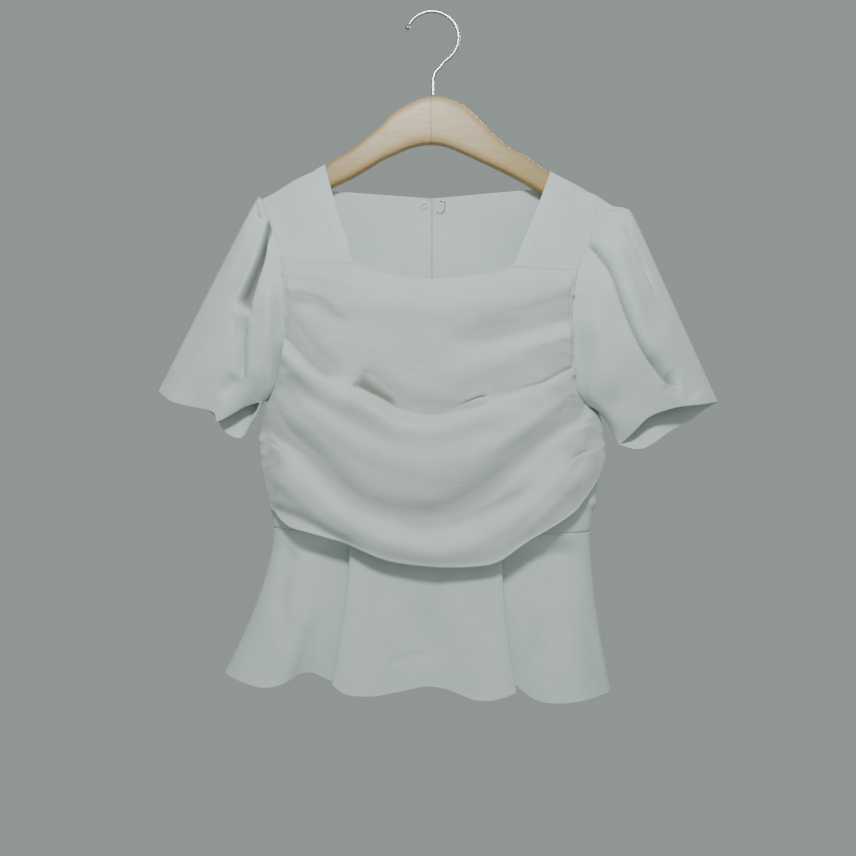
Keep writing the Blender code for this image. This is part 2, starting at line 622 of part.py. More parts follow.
def facing_inward(x):
    """The facing lies inside the back, and over the zip tape near the middle."""
    over = eased((FACING_OVER_TAPE - abs(x)) / FACING_RISE)
    return -(CLOTH + 3 * GAP + over * (ZIP_TAPE_THICK + 2 * GAP))


def make_facing(side, cutter, material, group):
    cut = SIDES[side]
    centre = -2 * CENTRE_BACK if side == "left" else 2 * CENTRE_BACK
    start = cut["facing_edge"][0]
    end = cut["facing_edge"][-1]
    top_middle = (centre, start[1])
    low_middle = (centre, FACING_LOW)
    rows_at = even(6)
    top = follow((start, top_middle), even(8), curved=False)
    bottom = follow((end, low_middle), even(8), curved=False)
    outer = follow(cut["facing_edge"], rows_at)
    inner = follow((top_middle, low_middle), rows_at, curved=False)
    grid = patch(top, bottom, outer, inner, even(8), rows_at)
    rows = [[on_body(p.x, p.y, "back", facing_inward(p.x)) for p in row] for row in grid]
    facing = cloth_object("facing_" + side, rows, material, group, THIN_CLOTH, flip=side == "left")
    cut_with(facing, cutter)


def armhole_points(side, face, shares):
    cut = SIDES[side]
    if face == "front":
        line = list(cut["armhole_yoke"]) + list(cut["armhole_base"][1:])
    else:
        line = cut["armhole_back"]
    away = -SEAM_GAP if side == "left" else SEAM_GAP
    points = []
    for p in follow(line, shares):
        spot = on_body(p.x, p.y, face, SEAM_GAP)
        spot.x += away
        points.append(spot)
    return points


def sleeve_half(side, face, across, down):
    shape = SLEEVES[side]
    top = armhole_points(side, face, across)
    top[0] = Vector(shape["outer"][0])
    top[-1] = Vector(shape["underarm"][0])
    bottom = follow(shape["cuff_" + face], across)
    outer = follow(shape["outer"], down)
    inner = follow(shape["underarm"], down)
    rows = patch(top, bottom, outer, inner, across, down)
    sign = -1.0 if face == "front" else 1.0
    puff = shape["puff_" + face]
    for share, row in zip(down, rows):
        swell = eased(share * 5.0) * (1.0 - 0.45 * share)
        for place, p in zip(across, row):
            around = math.sin(math.pi * place) ** 0.65
            crease = fold_height(p.x, p.z, shape["pleats"]) if face == "front" else 0.0
            crease *= eased(share * 6.0) * eased(min(place, 1.0 - place) * 8.0)
            p.y += sign * (puff * swell * around + crease)
    return rows


def make_sleeve(side, material, group):
    across = graded(16, 1.25, 1.25)
    down = graded(12, 1.4, 1.0)
    front = sleeve_half(side, "front", across, down)
    back = sleeve_half(side, "back", across, down)
    rows = []
    for near, far in zip(front, back):
        rows.append(near + list(reversed(far[1:-1])))
    return cloth_object("sleeve_" + side, rows, material, group, CLOTH, flip=side == "right", ring=True)


def make_peplum(face, stations, material, group):
    rows = []
    sign = -1.0 if face == "front" else 1.0
    for t in PEPLUM_ROWS:
        row = []
        for x_top, layer, x_hem, y_hem, z_hem in stations:
            share = (x_top - WAIST_LEFT[0]) / (WAIST_RIGHT[0] - WAIST_LEFT[0])
            z_top = between(WAIST_LEFT, WAIST_RIGHT, share)[1] - WAIST_GAP
            depth = body_depth(x_top, z_top, face) - CLOTH / 2
            y_top = sign * max(depth * (1.0 - PEPLUM_LAYER * layer), 2 * GAP)
            x = x_top + (x_hem - x_top) * t ** PEPLUM_FLARE
            y = y_top + (y_hem - y_top) * t ** PEPLUM_SWELL
            row.append(Vector((x, y, z_top + (z_hem - z_top) * t)))
        rows.append(row)
    return cloth_object("peplum_" + face, rows, material, group, THIN_CLOTH, face == "back", centred=True)


def make_hanger_bar(material, group):
    mesh = bpy.data.meshes.new("hanger_bar")
    shape = bmesh.new()
    upper = follow([(x, top) for x, top, low in BAR_SECTIONS], even(BAR_STATIONS))
    lower = follow([(x, low) for x, top, low in BAR_SECTIONS], even(BAR_STATIONS))
    outline = [Vector((p.x, 0.0, p.y)) for p in upper + list(reversed(lower))]
    shape.faces.new([shape.verts.new(p) for p in outline])
    shape.to_mesh(mesh)
    shape.free()
    thing = bpy.data.objects.new("hanger_bar", mesh)
    thing.data.materials.append(material)
    group.objects.link(thing)
    thicken = thing.modifiers.new("Board", "SOLIDIFY")
    thicken.thickness = BAR_THICK
    thicken.offset = 0.0
    rounding = thing.modifiers.new("Rounded edges", "BEVEL")
    rounding.width = BAR_ROUND
    rounding.segments = 2
    rounding.limit_method = "ANGLE"
    rounding.angle_limit = math.radians(40)
    return thing


def wire_object(name, points, diameter, material, group, resolution=2):
    """Round wire along a line of points, with closed ends."""
    line = bpy.data.curves.new(name, "CURVE")
    line.dimensions = "3D"
    line.bevel_depth = diameter / 2
    line.bevel_resolution = resolution
    line.use_fill_caps = True
    spline = line.splines.new("POLY")
    spline.points.add(len(points) - 1)
    for slot, p in zip(spline.points, points):
        slot.co = (*p, 1.0)
    thing = bpy.data.objects.new(name, line)
    line.materials.append(material)
    group.objects.link(thing)
    return thing


def make_hanger_hook(material, group):
    centre_z = -HOOK_RADIUS + HOOK_WIRE / 2
    points = []
    for share in even(HOOK_STEPS):
        angle = math.radians(HOOK_TIP_ANGLE + (HOOK_END_ANGLE - HOOK_TIP_ANGLE) * share)
        points.append(Vector((HOOK_RADIUS * math.cos(angle), 0.0, centre_z + HOOK_RADIUS * math.sin(angle))))
    for x, z in HOOK_BEND:
        points.append(Vector((x, 0.0, z)))
    wood_top = from_table(BAR_SECTIONS, HOOK_STEM_X, BAR_COLUMNS.index("top"))
    points.append(Vector((HOOK_STEM_X, 0.0, wood_top + GAP)))
    return wire_object("hanger_hook", points, HOOK_WIRE, material, group)


def make_zip_tape(material, group):
    rows = []
    for z in [ZIP_TOP + (ZIP_END - ZIP_TOP) * share for share in even(14)]:
        covered = CLOTH + 3 * GAP
        row = []
        for x in (-ZIP_TAPE_WIDTH / 2, 0.0, ZIP_TAPE_WIDTH / 2):
            row.append(on_body(x, z, "back", -covered))
        rows.append(row)
    return cloth_object("zip_tape", rows, material, group, ZIP_TAPE_THICK, flip=True)


def block(name, centre, size, rounding, material, group):
    bpy.ops.mesh.primitive_cube_add(size=1.0, location=centre)
    thing = bpy.context.object
    thing.name = name
    thing.data.name = name
    thing.scale = size
    bpy.ops.object.transform_apply(location=False, rotation=False, scale=True)
    for owner in list(thing.users_collection):
        owner.objects.unlink(thing)
    group.objects.link(thing)
    thing.data.materials.append(material)
    bevel = thing.modifiers.new("Rounded edges", "BEVEL")
    bevel.width = rounding
    bevel.segments = 2
    return thing


def make_zip_slider(material, group):
    """Slider body outside the centre-back seam."""
    back = body_depth(0.0, SLIDER_Z - SLIDER_SIZE[2] / 2, "back")
    centre = (0.0, back + GAP + SLIDER_SIZE[1] / 2, SLIDER_Z)
    return block("zip_slider", centre, SLIDER_SIZE, 0.0008, material, group), centre


def make_zip_pull(hinge, material, group):
    """Drop-shaped tab that hangs straight down from its hinge line."""
    steps = 12
    half = PULL_WIDTH / 2
    outline = [(half / 2, PULL_TOP), (-half / 2, PULL_TOP)]
    for k in range(steps + 1):
        angle = math.pi + math.pi * k / steps
        outline.append((half * math.cos(angle), -PULL_LENGTH + half + half * math.sin(angle)))
    mesh = bpy.data.meshes.new("zip_pull")
    shape = bmesh.new()
    shape.faces.new([shape.verts.new((x, 0.0, z)) for x, z in outline])
    shape.to_mesh(mesh)
    shape.free()
    thing = bpy.data.objects.new("zip_pull", mesh)
    thing.data.materials.append(material)
    thing.location = hinge
    group.objects.link(thing)
    thicken = thing.modifiers.new("Sheet", "SOLIDIFY")
    thicken.thickness = PULL_THICK
    thicken.offset = 0.0
    return thing


def make_neck_fastening(material, group):
    """Wire hook on one facing edge and wire eye on the other, just inside the back neck."""
    inward = -(CLOTH + THIN_CLOTH + ZIP_TAPE_THICK + 7 * GAP + FASTENER_WIRE / 2)
    for name, path in (("neck_hook", NECK_HOOK), ("neck_eye", NECK_EYE)):
        line = [on_body(p.x, p.y, "back", inward) for p in follow(path, even(16))]
        wire_object(name, line, FASTENER_WIRE, material, group, resolution=1)


def build():
    clear_scene()
    group = make_collection("layered blouse on hanger")
    linen = make_material("white woven cloth", (0.80, 0.83, 0.82), 0.85)
    chiffon = make_material("ivory chiffon", (0.80, 0.81, 0.76), 0.70)
    wood = make_material("light maple", (0.62, 0.42, 0.24), 0.45)
    steel = make_material("bright steel", (0.62, 0.60, 0.57), 0.25, 1.0)
    tape = make_material("white zip tape", (0.82, 0.84, 0.84), 0.8)

    cutters = make_collection("neckline cutters")
    shoulders = (SIDES["left"]["neck_point"], SIDES["right"]["neck_point"])
    neck = make_neck_cutter("neck_cut", neck_outline(*shoulders, 0.0), cutters)
    starts = [SIDES[side]["facing_edge"][0] for side in ("left", "right")]
    inside = [(x - math.copysign(FACING_INSET, x), z) for x, z in starts]
    facing_neck = make_neck_cutter("facing_cut", neck_outline(*inside, FACING_DROP), cutters)
    for side in ("left", "right"):
        make_yoke(side, linen, group)
        make_back(side, neck, linen, group)
        make_facing(side, facing_neck, linen, group)
        make_sleeve(side, linen, group)
    make_front_base(linen, group)
    make_front_drape(chiffon, group)
    make_peplum("front", PEPLUM_FRONT, linen, group)
    make_peplum("back", PEPLUM_BACK, linen, group)
    make_hanger_bar(wood, group)
    make_hanger_hook(steel, group)
    make_zip_tape(tape, group)
    slider, centre = make_zip_slider(steel, group)
    hinge = (0.0, centre[1] + SLIDER_SIZE[1] / 2 + HINGE_OFF, centre[2])
    make_zip_pull(hinge, steel, group)
    make_neck_fastening(steel, group)


build()
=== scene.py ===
import math

import bmesh
import bpy
import numpy as np
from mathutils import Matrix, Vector


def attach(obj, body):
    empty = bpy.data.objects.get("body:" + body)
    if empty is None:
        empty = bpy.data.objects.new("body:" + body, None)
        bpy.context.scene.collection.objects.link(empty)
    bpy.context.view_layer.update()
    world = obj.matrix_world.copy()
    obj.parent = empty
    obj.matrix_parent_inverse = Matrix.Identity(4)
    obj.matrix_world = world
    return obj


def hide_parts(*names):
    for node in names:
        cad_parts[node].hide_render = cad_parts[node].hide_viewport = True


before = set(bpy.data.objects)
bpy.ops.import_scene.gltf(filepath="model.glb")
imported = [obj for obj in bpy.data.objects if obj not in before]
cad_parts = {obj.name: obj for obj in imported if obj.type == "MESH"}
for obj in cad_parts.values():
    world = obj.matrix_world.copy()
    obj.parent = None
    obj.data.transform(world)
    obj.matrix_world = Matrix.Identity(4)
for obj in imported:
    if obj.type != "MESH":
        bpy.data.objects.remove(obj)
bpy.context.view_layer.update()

# Flat body of the blouse as it hangs. Every cloth piece lies on this one form, in metres.
bodyForm = {
    "sidePower": 2.6,  # how squarely the flat body turns at its side seams
    "rimDrop": 0.006,  # height over which cloth turns down off the hanger
    "chestDrop": 0.115,  # height below that in which the body reaches its depth
    "shoulderGap": 0.03,  # the shoulder seam's half gap, as a share of the rim below it
    "rim": {"front": 0.0088, "back": 0.0105},
    "closest": 0.0003,  # from the middle plane
    "normalStep": 0.002,
    "shoulder": ((-0.17, -0.187), (-0.107, -0.152), (0.0, -0.095), (0.118, -0.159), (0.166, -0.184)),
    # height, half width at the left and right, depth in front and behind
    "sections": (
        (-0.15, 0.26, 0.26, 0.038, 0.024),
        (-0.187, 0.25, 0.25, 0.038, 0.024),
        (-0.254, 0.205, 0.2, 0.038, 0.024),
        (-0.3, 0.182, 0.178, 0.039, 0.025),
        (-0.34, 0.17, 0.168, 0.039, 0.025),
        (-0.387, 0.1629, 0.1605, 0.037, 0.024),
        (-0.396, 0.1629, 0.1599, 0.036, 0.024),
        (-0.43, 0.17, 0.169, 0.035, 0.023),
        (-0.48, 0.1625, 0.163, 0.033, 0.021),
        (-0.516, 0.157, 0.157, 0.032, 0.02),
    ),
}

# Edges of the cut pieces on that form, each point an x and a z
waist = {"left": (-0.157, -0.514), "right": (0.157, -0.518)}
cuts = {
    "left": {
        "sign": -1,
        "tip": (-0.17, -0.187),
        "neckPoint": (-0.107, -0.152),
        "armholeYoke": ((-0.17, -0.187), (-0.159, -0.215), (-0.1465, -0.2515)),
        "armholeBase": ((-0.1465, -0.252), (-0.143, -0.291), (-0.1445, -0.3345), (-0.153, -0.373),
                        (-0.1628, -0.387)),
        "armholeBack": ((-0.17, -0.187), (-0.16, -0.22), (-0.154, -0.252), (-0.151, -0.3),
                        (-0.155, -0.35), (-0.16, -0.376), (-0.1628, -0.387)),
        "sideSeam": ((-0.1628, -0.387), (-0.1655, -0.4), (-0.1699, -0.427), (-0.1685, -0.45),
                     (-0.1645, -0.472), waist["left"]),
        "strapEdge": ((-0.107, -0.152), (-0.098, -0.185), (-0.09, -0.2115), (-0.0815, -0.2347),
                      (-0.076, -0.2572)),
        "yokeSeam": ((-0.1465, -0.2515), (-0.11, -0.256), (-0.076, -0.2572)),
        "backNeckCorner": (-0.1005, -0.1755),
        "facingEdge": ((-0.1045, -0.164), (-0.111, -0.205), (-0.118, -0.261)),
    },
    "right": {
        "sign": 1,
        "tip": (0.166, -0.184),
        "neckPoint": (0.118, -0.159),
        "armholeYoke": ((0.166, -0.184), (0.1555, -0.228), (0.141, -0.2615)),
        "armholeBase": ((0.141, -0.2628), (0.136, -0.291), (0.1365, -0.3345), (0.139, -0.373),
                        (0.147, -0.388), (0.1598, -0.396)),
        "armholeBack": ((0.166, -0.184), (0.157, -0.217), (0.15, -0.25), (0.145, -0.3),
                        (0.148, -0.35), (0.156, -0.384), (0.1598, -0.396)),
        "sideSeam": ((0.1598, -0.396), (0.1673, -0.41), (0.169, -0.43), (0.167, -0.455),
                     (0.163, -0.48), waist["right"]),
        "strapEdge": ((0.118, -0.159), (0.1066, -0.19), (0.098, -0.2115), (0.087, -0.2366),
                      (0.078, -0.26)),
        "yokeSeam": ((0.141, -0.2615), (0.11, -0.262), (0.078, -0.26)),
        "backNeckCorner": (0.1106, -0.1734),
        "facingEdge": ((0.1136, -0.169), (0.117, -0.205), (0.12, -0.261)),
    },
}
baseTop = ((-0.1465, -0.252), (-0.11, -0.2565), (-0.076, -0.258), (-0.053, -0.265), (-0.031, -0.269),
           (0.003, -0.2728), (0.056, -0.267), (0.078, -0.2616), (0.11, -0.2634), (0.141, -0.2628))
wall = {"cloth": 0.0012, "thin": 0.001, "tape": 0.0008, "gap": 0.0003, "waistGap": 0.00005}
backNeck = {"z": -0.1805, "top": -0.15, "centre": 0.0001}


def eased(t):
    t = np.clip(t, 0.0, 1.0)
    return t * t * (3.0 - 2.0 * t)


def even(count):
    return np.linspace(0.0, 1.0, count + 1)


def crowded(count, start=1.0, end=1.0):  # shares that crowd towards the ends
    share = even(count)
    return share ** start * (1 - share) + (1 - (1 - share) ** end) * share


def smoothLine(points, parts=6):  # curve that passes through every point
    points = np.array(points, float)
    if len(points) < 3:
        return points
    ends = np.vstack([2 * points[0] - points[1], points, 2 * points[-1] - points[-2]])
    curve = []
    for a, b, c, d in zip(ends, ends[1:], ends[2:], ends[3:]):
        for t in np.arange(parts) / parts:
            curve.append(0.5 * (2 * b + (c - a) * t + (2 * a - 5 * b + 4 * c - d) * t ** 2
                                + (3 * b - a - 3 * c + d) * t ** 3))
    curve.append(points[-1])
    return np.array(curve)


def lengthAlong(line):
    return np.concatenate([[0.0], np.cumsum(np.linalg.norm(np.diff(line, axis=0), axis=1))])


def follow(points, shares, curved=True):  # points at shares of a line's length
    line = smoothLine(points) if curved else np.array(points, float)
    run = lengthAlong(line)
    at = np.asarray(shares) * run[-1]
    return np.stack([np.interp(at, run, line[:, k]) for k in range(line.shape[1])], axis=1)


def patch(top, bottom, left, right, across, down):  # grid between four edges
    u = np.asarray(across)[None, :, None]
    v = np.asarray(down)[:, None, None]
    corners = (top[0] * (1 - u) + top[-1] * u) * (1 - v) + (bottom[0] * (1 - u) + bottom[-1] * u) * v
    return left[:, None] * (1 - u) + right[:, None] * u + top[None] * (1 - v) + bottom[None] * v - corners


sectionTable = np.array(bodyForm["sections"])[::-1]
shoulderTable = np.array(bodyForm["shoulder"])


def halfWidths(side):  # height against half width, the side seam's below the underarm
    seam = smoothLine(cuts[side]["sideSeam"])
    upper = [(row[0], row[1 if side == "left" else 2]) for row in sectionTable if row[0] > seam[0][1]]
    return np.array([(z, abs(x)) for x, z in seam[::-1]] + upper)


halfTable = {side: halfWidths(side) for side in cuts}


def shoulderHeight(x):
    first, last = shoulderTable[0], shoulderTable[-1]
    slopes = np.diff(shoulderTable[:, 1]) / np.diff(shoulderTable[:, 0])
    inside = np.interp(x, shoulderTable[:, 0], shoulderTable[:, 1])
    inside = np.where(x < first[0], first[1] + (x - first[0]) * slopes[0], inside)
    return np.where(x > last[0], last[1] + (x - last[0]) * slopes[-1], inside)


def bodyDepth(x, z, face):  # distance of the body's outer face from the middle plane
    half = np.where(x < 0, np.interp(z, *halfTable["left"].T), np.interp(z, *halfTable["right"].T))
    reach = np.minimum(np.abs(x) / half, 1.0)
    power = bodyForm["sidePower"]
    full = np.interp(z, sectionTable[:, 0], sectionTable[:, 3 if face == "front" else 4])
    full = full * (1 - reach ** power) ** (1 / power)
    drop = np.maximum(shoulderHeight(x) - z, 0.0)
    turn = 1 - np.minimum(drop / bodyForm["rimDrop"], 1.0)
    rim = bodyForm["rim"][face] * np.maximum(np.sqrt(1 - turn ** 2), bodyForm["shoulderGap"])
    share = eased((drop - bodyForm["rimDrop"]) / bodyForm["chestDrop"])
    return np.maximum(rim * (1 - share) + full * share, bodyForm["closest"])


def onBody(flat, face, out=0.0):  # points on the body's outer face, moved out along its own direction
    x, z = flat[..., 0], flat[..., 1]
    sign = -1.0 if face == "front" else 1.0
    step = bodyForm["normalStep"]
    slopeX = (bodyDepth(x + step, z, face) - bodyDepth(x - step, z, face)) / (2 * step)
    slopeZ = (bodyDepth(x, z + step, face) - bodyDepth(x, z - step, face)) / (2 * step)
    normal = np.stack([-slopeX, np.full_like(x, sign), -slopeZ], axis=-1)
    normal /= np.linalg.norm(normal, axis=-1, keepdims=True)
    point = np.stack([x, sign * bodyDepth(x, z, face), z], axis=-1)
    return point + normal * np.asarray(out)[..., None]


def nearPath(x, z, path):  # signed distance from a path (above is positive) and the place along it
    line = smoothLine(path, 4)
    lengths = np.maximum(np.linalg.norm(np.diff(line, axis=0), axis=1), 1e-9)
    total, run = lengths.sum(), 0.0
    best = np.full(x.shape, 9.0)
    place = np.zeros(x.shape)
    above = np.ones(x.shape)
    for a, b, length in zip(line, line[1:], lengths):
        along = (b - a) / length
        share = np.clip(((x - a[0]) * along[0] + (z - a[1]) * along[1]) / length, 0.0, 1.0)
        gapX = x - a[0] - along[0] * share * length
        gapZ = z - a[1] - along[1] * share * length
        distance = np.hypot(gapX, gapZ)
        closer = distance < best
        best = np.where(closer, distance, best)
        place = np.where(closer, (run + share * length) / total, place)
        above = np.where(closer, np.sign(along[0] * gapZ - along[1] * gapX + 1e-12), above)
        run += length
    return best * above, place


def foldRelief(x, z, folds):  # soft troughs and ridges along paths, with two flanks each
    total = np.zeros(x.shape)
    for path, upper, lower, height, fadeStart, fadeEnd in folds:
        distance, place = nearPath(x, z, path)
        width = np.where(distance > 0, upper, lower)
        fade = eased(place / fadeStart if fadeStart else 1.0 + place)
        fade = fade * eased((1 - place) / fadeEnd if fadeEnd else 1.0 + place)
        total += height * fade * np.exp(-(distance / width) ** 2)
    return total


pleatShadeDepth = (0.004, 0.012)  # where the painted shade in a pleat starts, and over how much more it becomes full


def laps(x, z, rows):  # pleats with one side over the other: shifts in x and z, lift, and how much painted shade they get
    shiftX, shiftZ, lift, hollow = (np.zeros(x.shape) for k in range(4))
    for path, side, (leanX, leanZ), over, rise, sink, (start, end), edge, steep, fades in rows:
        distance, place = nearPath(x, z, path)
        distance = distance * side
        width = start + (end - start) * place
        fade = eased(place / fades[0]) * eased((1 - place) / fades[1])
        step = eased(0.5 + distance / edge)  # 1 on the side that hangs over
        lift += fade * rise * step * np.exp(-(np.maximum(distance, 0.0) / (1.3 * width)) ** 2)
        sunk = fade * sink * (1 - step) * np.exp(-(-np.minimum(distance, 0.0) / width) ** steep)
        lift -= sunk
        hollow = np.maximum(hollow, eased((sunk - pleatShadeDepth[0]) / pleatShadeDepth[1]))
        shift = over * fade * np.exp(-((distance - 0.2 * edge) / (1.1 * edge + 0.2 * width)) ** 2)
        shiftX += leanX * shift
        shiftZ += leanZ * shift
    return shiftX, shiftZ, lift, hollow


def ripples(x, z, size, seed, strength):  # uneven soft waves that no two areas share
    dice = np.random.default_rng(seed)
    total = np.zeros(np.shape(x))
    for octave in range(6):
        turn = dice.uniform(0, 2 * math.pi)
        pitch = size * dice.uniform(0.55, 1.7)
        shift = dice.uniform(0, 2 * math.pi)
        total += np.sin((x * math.cos(turn) + z * math.sin(turn)) * 2 * math.pi / pitch + shift)
    return total * strength / 6


def setOut(name, mesh, material):  # one smooth object for a finished mesh
    mesh.shade_smooth()
    mesh.materials.append(material)
    piece = bpy.data.objects.new(name, mesh)
    bpy.context.scene.collection.objects.link(piece)
    return piece


# Thin wall from rows of points, with a map in metres and marks that its material reads
def clothMesh(name, grid, material, thickness, ring=False, flip=False, centred=False, marks=None, trim=None):
    rows, columns = grid.shape[:2]
    stepsDown = np.linalg.norm(np.diff(grid, axis=0), axis=2)
    stepsAcross = np.linalg.norm(np.diff(grid, axis=1), axis=2)
    vMap = np.vstack([np.zeros((1, columns)), np.cumsum(stepsDown, axis=0)])
    uMap = np.hstack([np.zeros((rows, 1)), np.cumsum(stepsAcross, axis=1)])
    uMap -= uMap[:, columns // 2][:, None]
    row, column = np.meshgrid(np.arange(rows - 1), np.arange(columns if ring else columns - 1), indexing="ij")
    beside = (column + 1) % columns
    faces = np.stack([row * columns + column, (row + 1) * columns + column,
                      (row + 1) * columns + beside, row * columns + beside], axis=-1).reshape(-1, 4)
    if flip:
        faces = faces[:, ::-1]
    mesh = bpy.data.meshes.new(name)
    mesh.from_pydata(grid.reshape(-1, 3).tolist(), [], faces.tolist())
    mapped = mesh.uv_layers.new(name="Cloth")
    corners = np.empty(len(mesh.loops), dtype=np.int32)
    mesh.loops.foreach_get("vertex_index", corners)
    uv = np.stack([uMap.reshape(-1)[corners], vMap.reshape(-1)[corners]], axis=1)
    if ring:  # the last strip ends a full round away from where it started
        wide = (corners % columns == 0) & np.repeat(faces.max(axis=1) % columns == columns - 1, 4)
        across = np.linalg.norm(grid[:, 0] - grid[:, -1], axis=1)
        uv[wide, 0] = (uMap[:, -1] + across)[corners[wide] // columns]
    mapped.data.foreach_set("uv", uv.astype(np.float32).reshape(-1))
    for mark, values in (marks or {}).items():
        layer = mesh.attributes.new(mark, "FLOAT", "POINT")
        layer.data.foreach_set("value", np.asarray(values, np.float32).reshape(-1))
    if trim:
        trimNeck(mesh, trim)
    piece = setOut(name, mesh, material)
    thicken = piece.modifiers.new("Wall", "SOLIDIFY")
    thicken.thickness = thickness
    thicken.offset = 0.0 if centred else -1.0
    thicken.use_quality_normals = True
    return piece


def trimNeck(mesh, corner):  # cuts the back neckline out of a panel: its side, its corner and its low edge
    side, low, middle = (np.array(p) for p in corner)
    shape = bmesh.new()
    shape.from_mesh(mesh)
    for a, b in ((side, low), (low, middle)):
        along = (b - a) / np.linalg.norm(b - a)
        everything = shape.verts[:] + shape.edges[:] + shape.faces[:]
        bmesh.ops.bisect_plane(shape, geom=everything, dist=1e-7, plane_co=(a[0], 0.0, a[1]),
                               plane_no=(-along[1], 0.0, along[0]))
    inner = 1.0 if side[0] < 0 else -1.0
    gone = []
    for face in shape.faces:
        spot = face.calc_center_median()
        edgeX = side[0] + (low[0] - side[0]) * (spot.z - side[1]) / (low[1] - side[1])
        edgeZ = low[1] + (middle[1] - low[1]) * (spot.x - low[0]) / (middle[0] - low[0])
        if (spot.x - edgeX) * inner > 0 and spot.z > edgeZ:
            gone.append(face)
    bmesh.ops.delete(shape, geom=gone, context="FACES")
    shape.to_mesh(mesh)
    shape.free()


def finish(piece, nodes, body="garment"):
    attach(piece, body)
    if nodes:
        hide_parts(*nodes)


# Shader maths is written as expressions on sockets
class Sock:
    def __init__(self, maker, socket):
        self.maker, self.socket = maker, socket

    def maths(self, operation, first, second=None):
        values = {0: first} if second is None else {0: first, 1: second}
        return self.maker.node("ShaderNodeMath", {"operation": operation}, values)

    def __add__(self, other):
        return self.maths("ADD", self, other)

    def __radd__(self, other):
        return self.maths("ADD", other, self)

    def __sub__(self, other):
        return self.maths("SUBTRACT", self, other)

    def __rsub__(self, other):
        return self.maths("SUBTRACT", other, self)

    def __mul__(self, other):
        return self.maths("MULTIPLY", self, other)

    def __rmul__(self, other):
        return self.maths("MULTIPLY", other, self)

    def __pow__(self, other):
        return self.maths("POWER", self, other)

    def sine(self):
        return self.maths("SINE", self)

    def size(self):
        return self.maths("ABSOLUTE", self)


class Finish:
    def __init__(self, name):
        self.material = bpy.data.materials.new(name)
        self.material.use_nodes = True
        self.tree = self.material.node_tree
        self.shader = self.tree.nodes["Principled BSDF"]

    def node(self, kind, settings=None, values=None, out=0):
        made = self.tree.nodes.new(kind)
        for key, value in (settings or {}).items():
            if key == "stops":
                ramp = made.color_ramp
                for at, colour in value[2:]:
                    ramp.elements.new(at)
                for element, (at, colour) in zip(ramp.elements, sorted(value)):
                    element.position = at
                    element.color = (*colour, 1.0)
            else:
                setattr(made, key, value)
        for key, value in (values or {}).items():
            if isinstance(value, Sock):
                self.tree.links.new(value.socket, made.inputs[key])
            else:
                made.inputs[key].default_value = value
        return Sock(self, made.outputs[out])

    def mark(self, name):
        return self.node("ShaderNodeAttribute", {"attribute_name": name}, out="Fac")

    def mapped(self, scale=(1.0, 1.0, 1.0)):
        uv = self.node("ShaderNodeUVMap", {"uv_map": "Cloth"})
        return self.node("ShaderNodeMapping", {}, {"Vector": uv, "Scale": scale})

    def axis(self, vector, name):
        return self.node("ShaderNodeSeparateXYZ", {}, {0: vector}, out=name)

    def weave(self, pitch):  # threads that pass over and under each other
        flat, spread = self.mapped(), 2 * math.pi / pitch
        return (self.axis(flat, "X") * spread).sine() * (self.axis(flat, "Y") * spread).sine()

    def place(self, scale=(1.0, 1.0, 1.0)):
        spot = self.node("ShaderNodeTexCoord", {}, out="Object")
        return self.node("ShaderNodeMapping", {}, {"Vector": spot, "Scale": scale})

    def noise(self, vector, scale, detail=2.0, roughness=0.5, distortion=0.0):
        return self.node("ShaderNodeTexNoise", {}, {"Vector": vector, "Scale": scale, "Detail": detail,
                                                    "Roughness": roughness, "Distortion": distortion})

    def mixColour(self, share, first, second):
        settings = {"data_type": "RGBA", "clamp_factor": True}
        return self.node("ShaderNodeMix", settings, {0: share, 6: first, 7: second}, out=2)

    def smooth(self, value, low, high, lowOut=0.0, highOut=1.0):
        return self.node("ShaderNodeMapRange", {"interpolation_type": "SMOOTHSTEP"},
                         {0: value, 1: low, 2: high, 3: lowOut, 4: highOut})

    def bump(self, height, distance, strength=1.0):
        return self.node("ShaderNodeBump", {}, {"Height": height, "Distance": distance, "Strength": strength})

    def fix(self, **sockets):  # constants by name, with spaces for underscores
        for key, value in sockets.items():
            self.shader.inputs[key.replace("_", " ")].default_value = value

    def join(self, **sockets):
        for key, value in sockets.items():
            self.tree.links.new(value.socket, self.shader.inputs[key.replace("_", " ")])


def shade(colour):
    return (*colour, 1.0)


# White plain-woven linen blend: threads, thick and thin yarns, a soft mottle, and painted shade in its sunk
# places and pleats
linenLook = {
    "white": (0.705, 0.77, 0.765),
    # painted shade where the cloth sinks, also the darker side of its mottle and thick yarns
    "shaded": (0.6, 0.65, 0.64),
    "doubled": (0.735, 0.8, 0.795),  # in hems and facings
    "inside": (0.27, 0.255, 0.215),  # painted shade deep in a pleat
    "thread": 0.00055,  # from one thread to the next
    "slub": 0.0016,  # width of a thick yarn
    "slubLength": 0.016,
    "mottle": 34.0,
    "roughness": 0.86,
    "weaveHeight": 0.000025,
    "slubHeight": 0.00009,
}


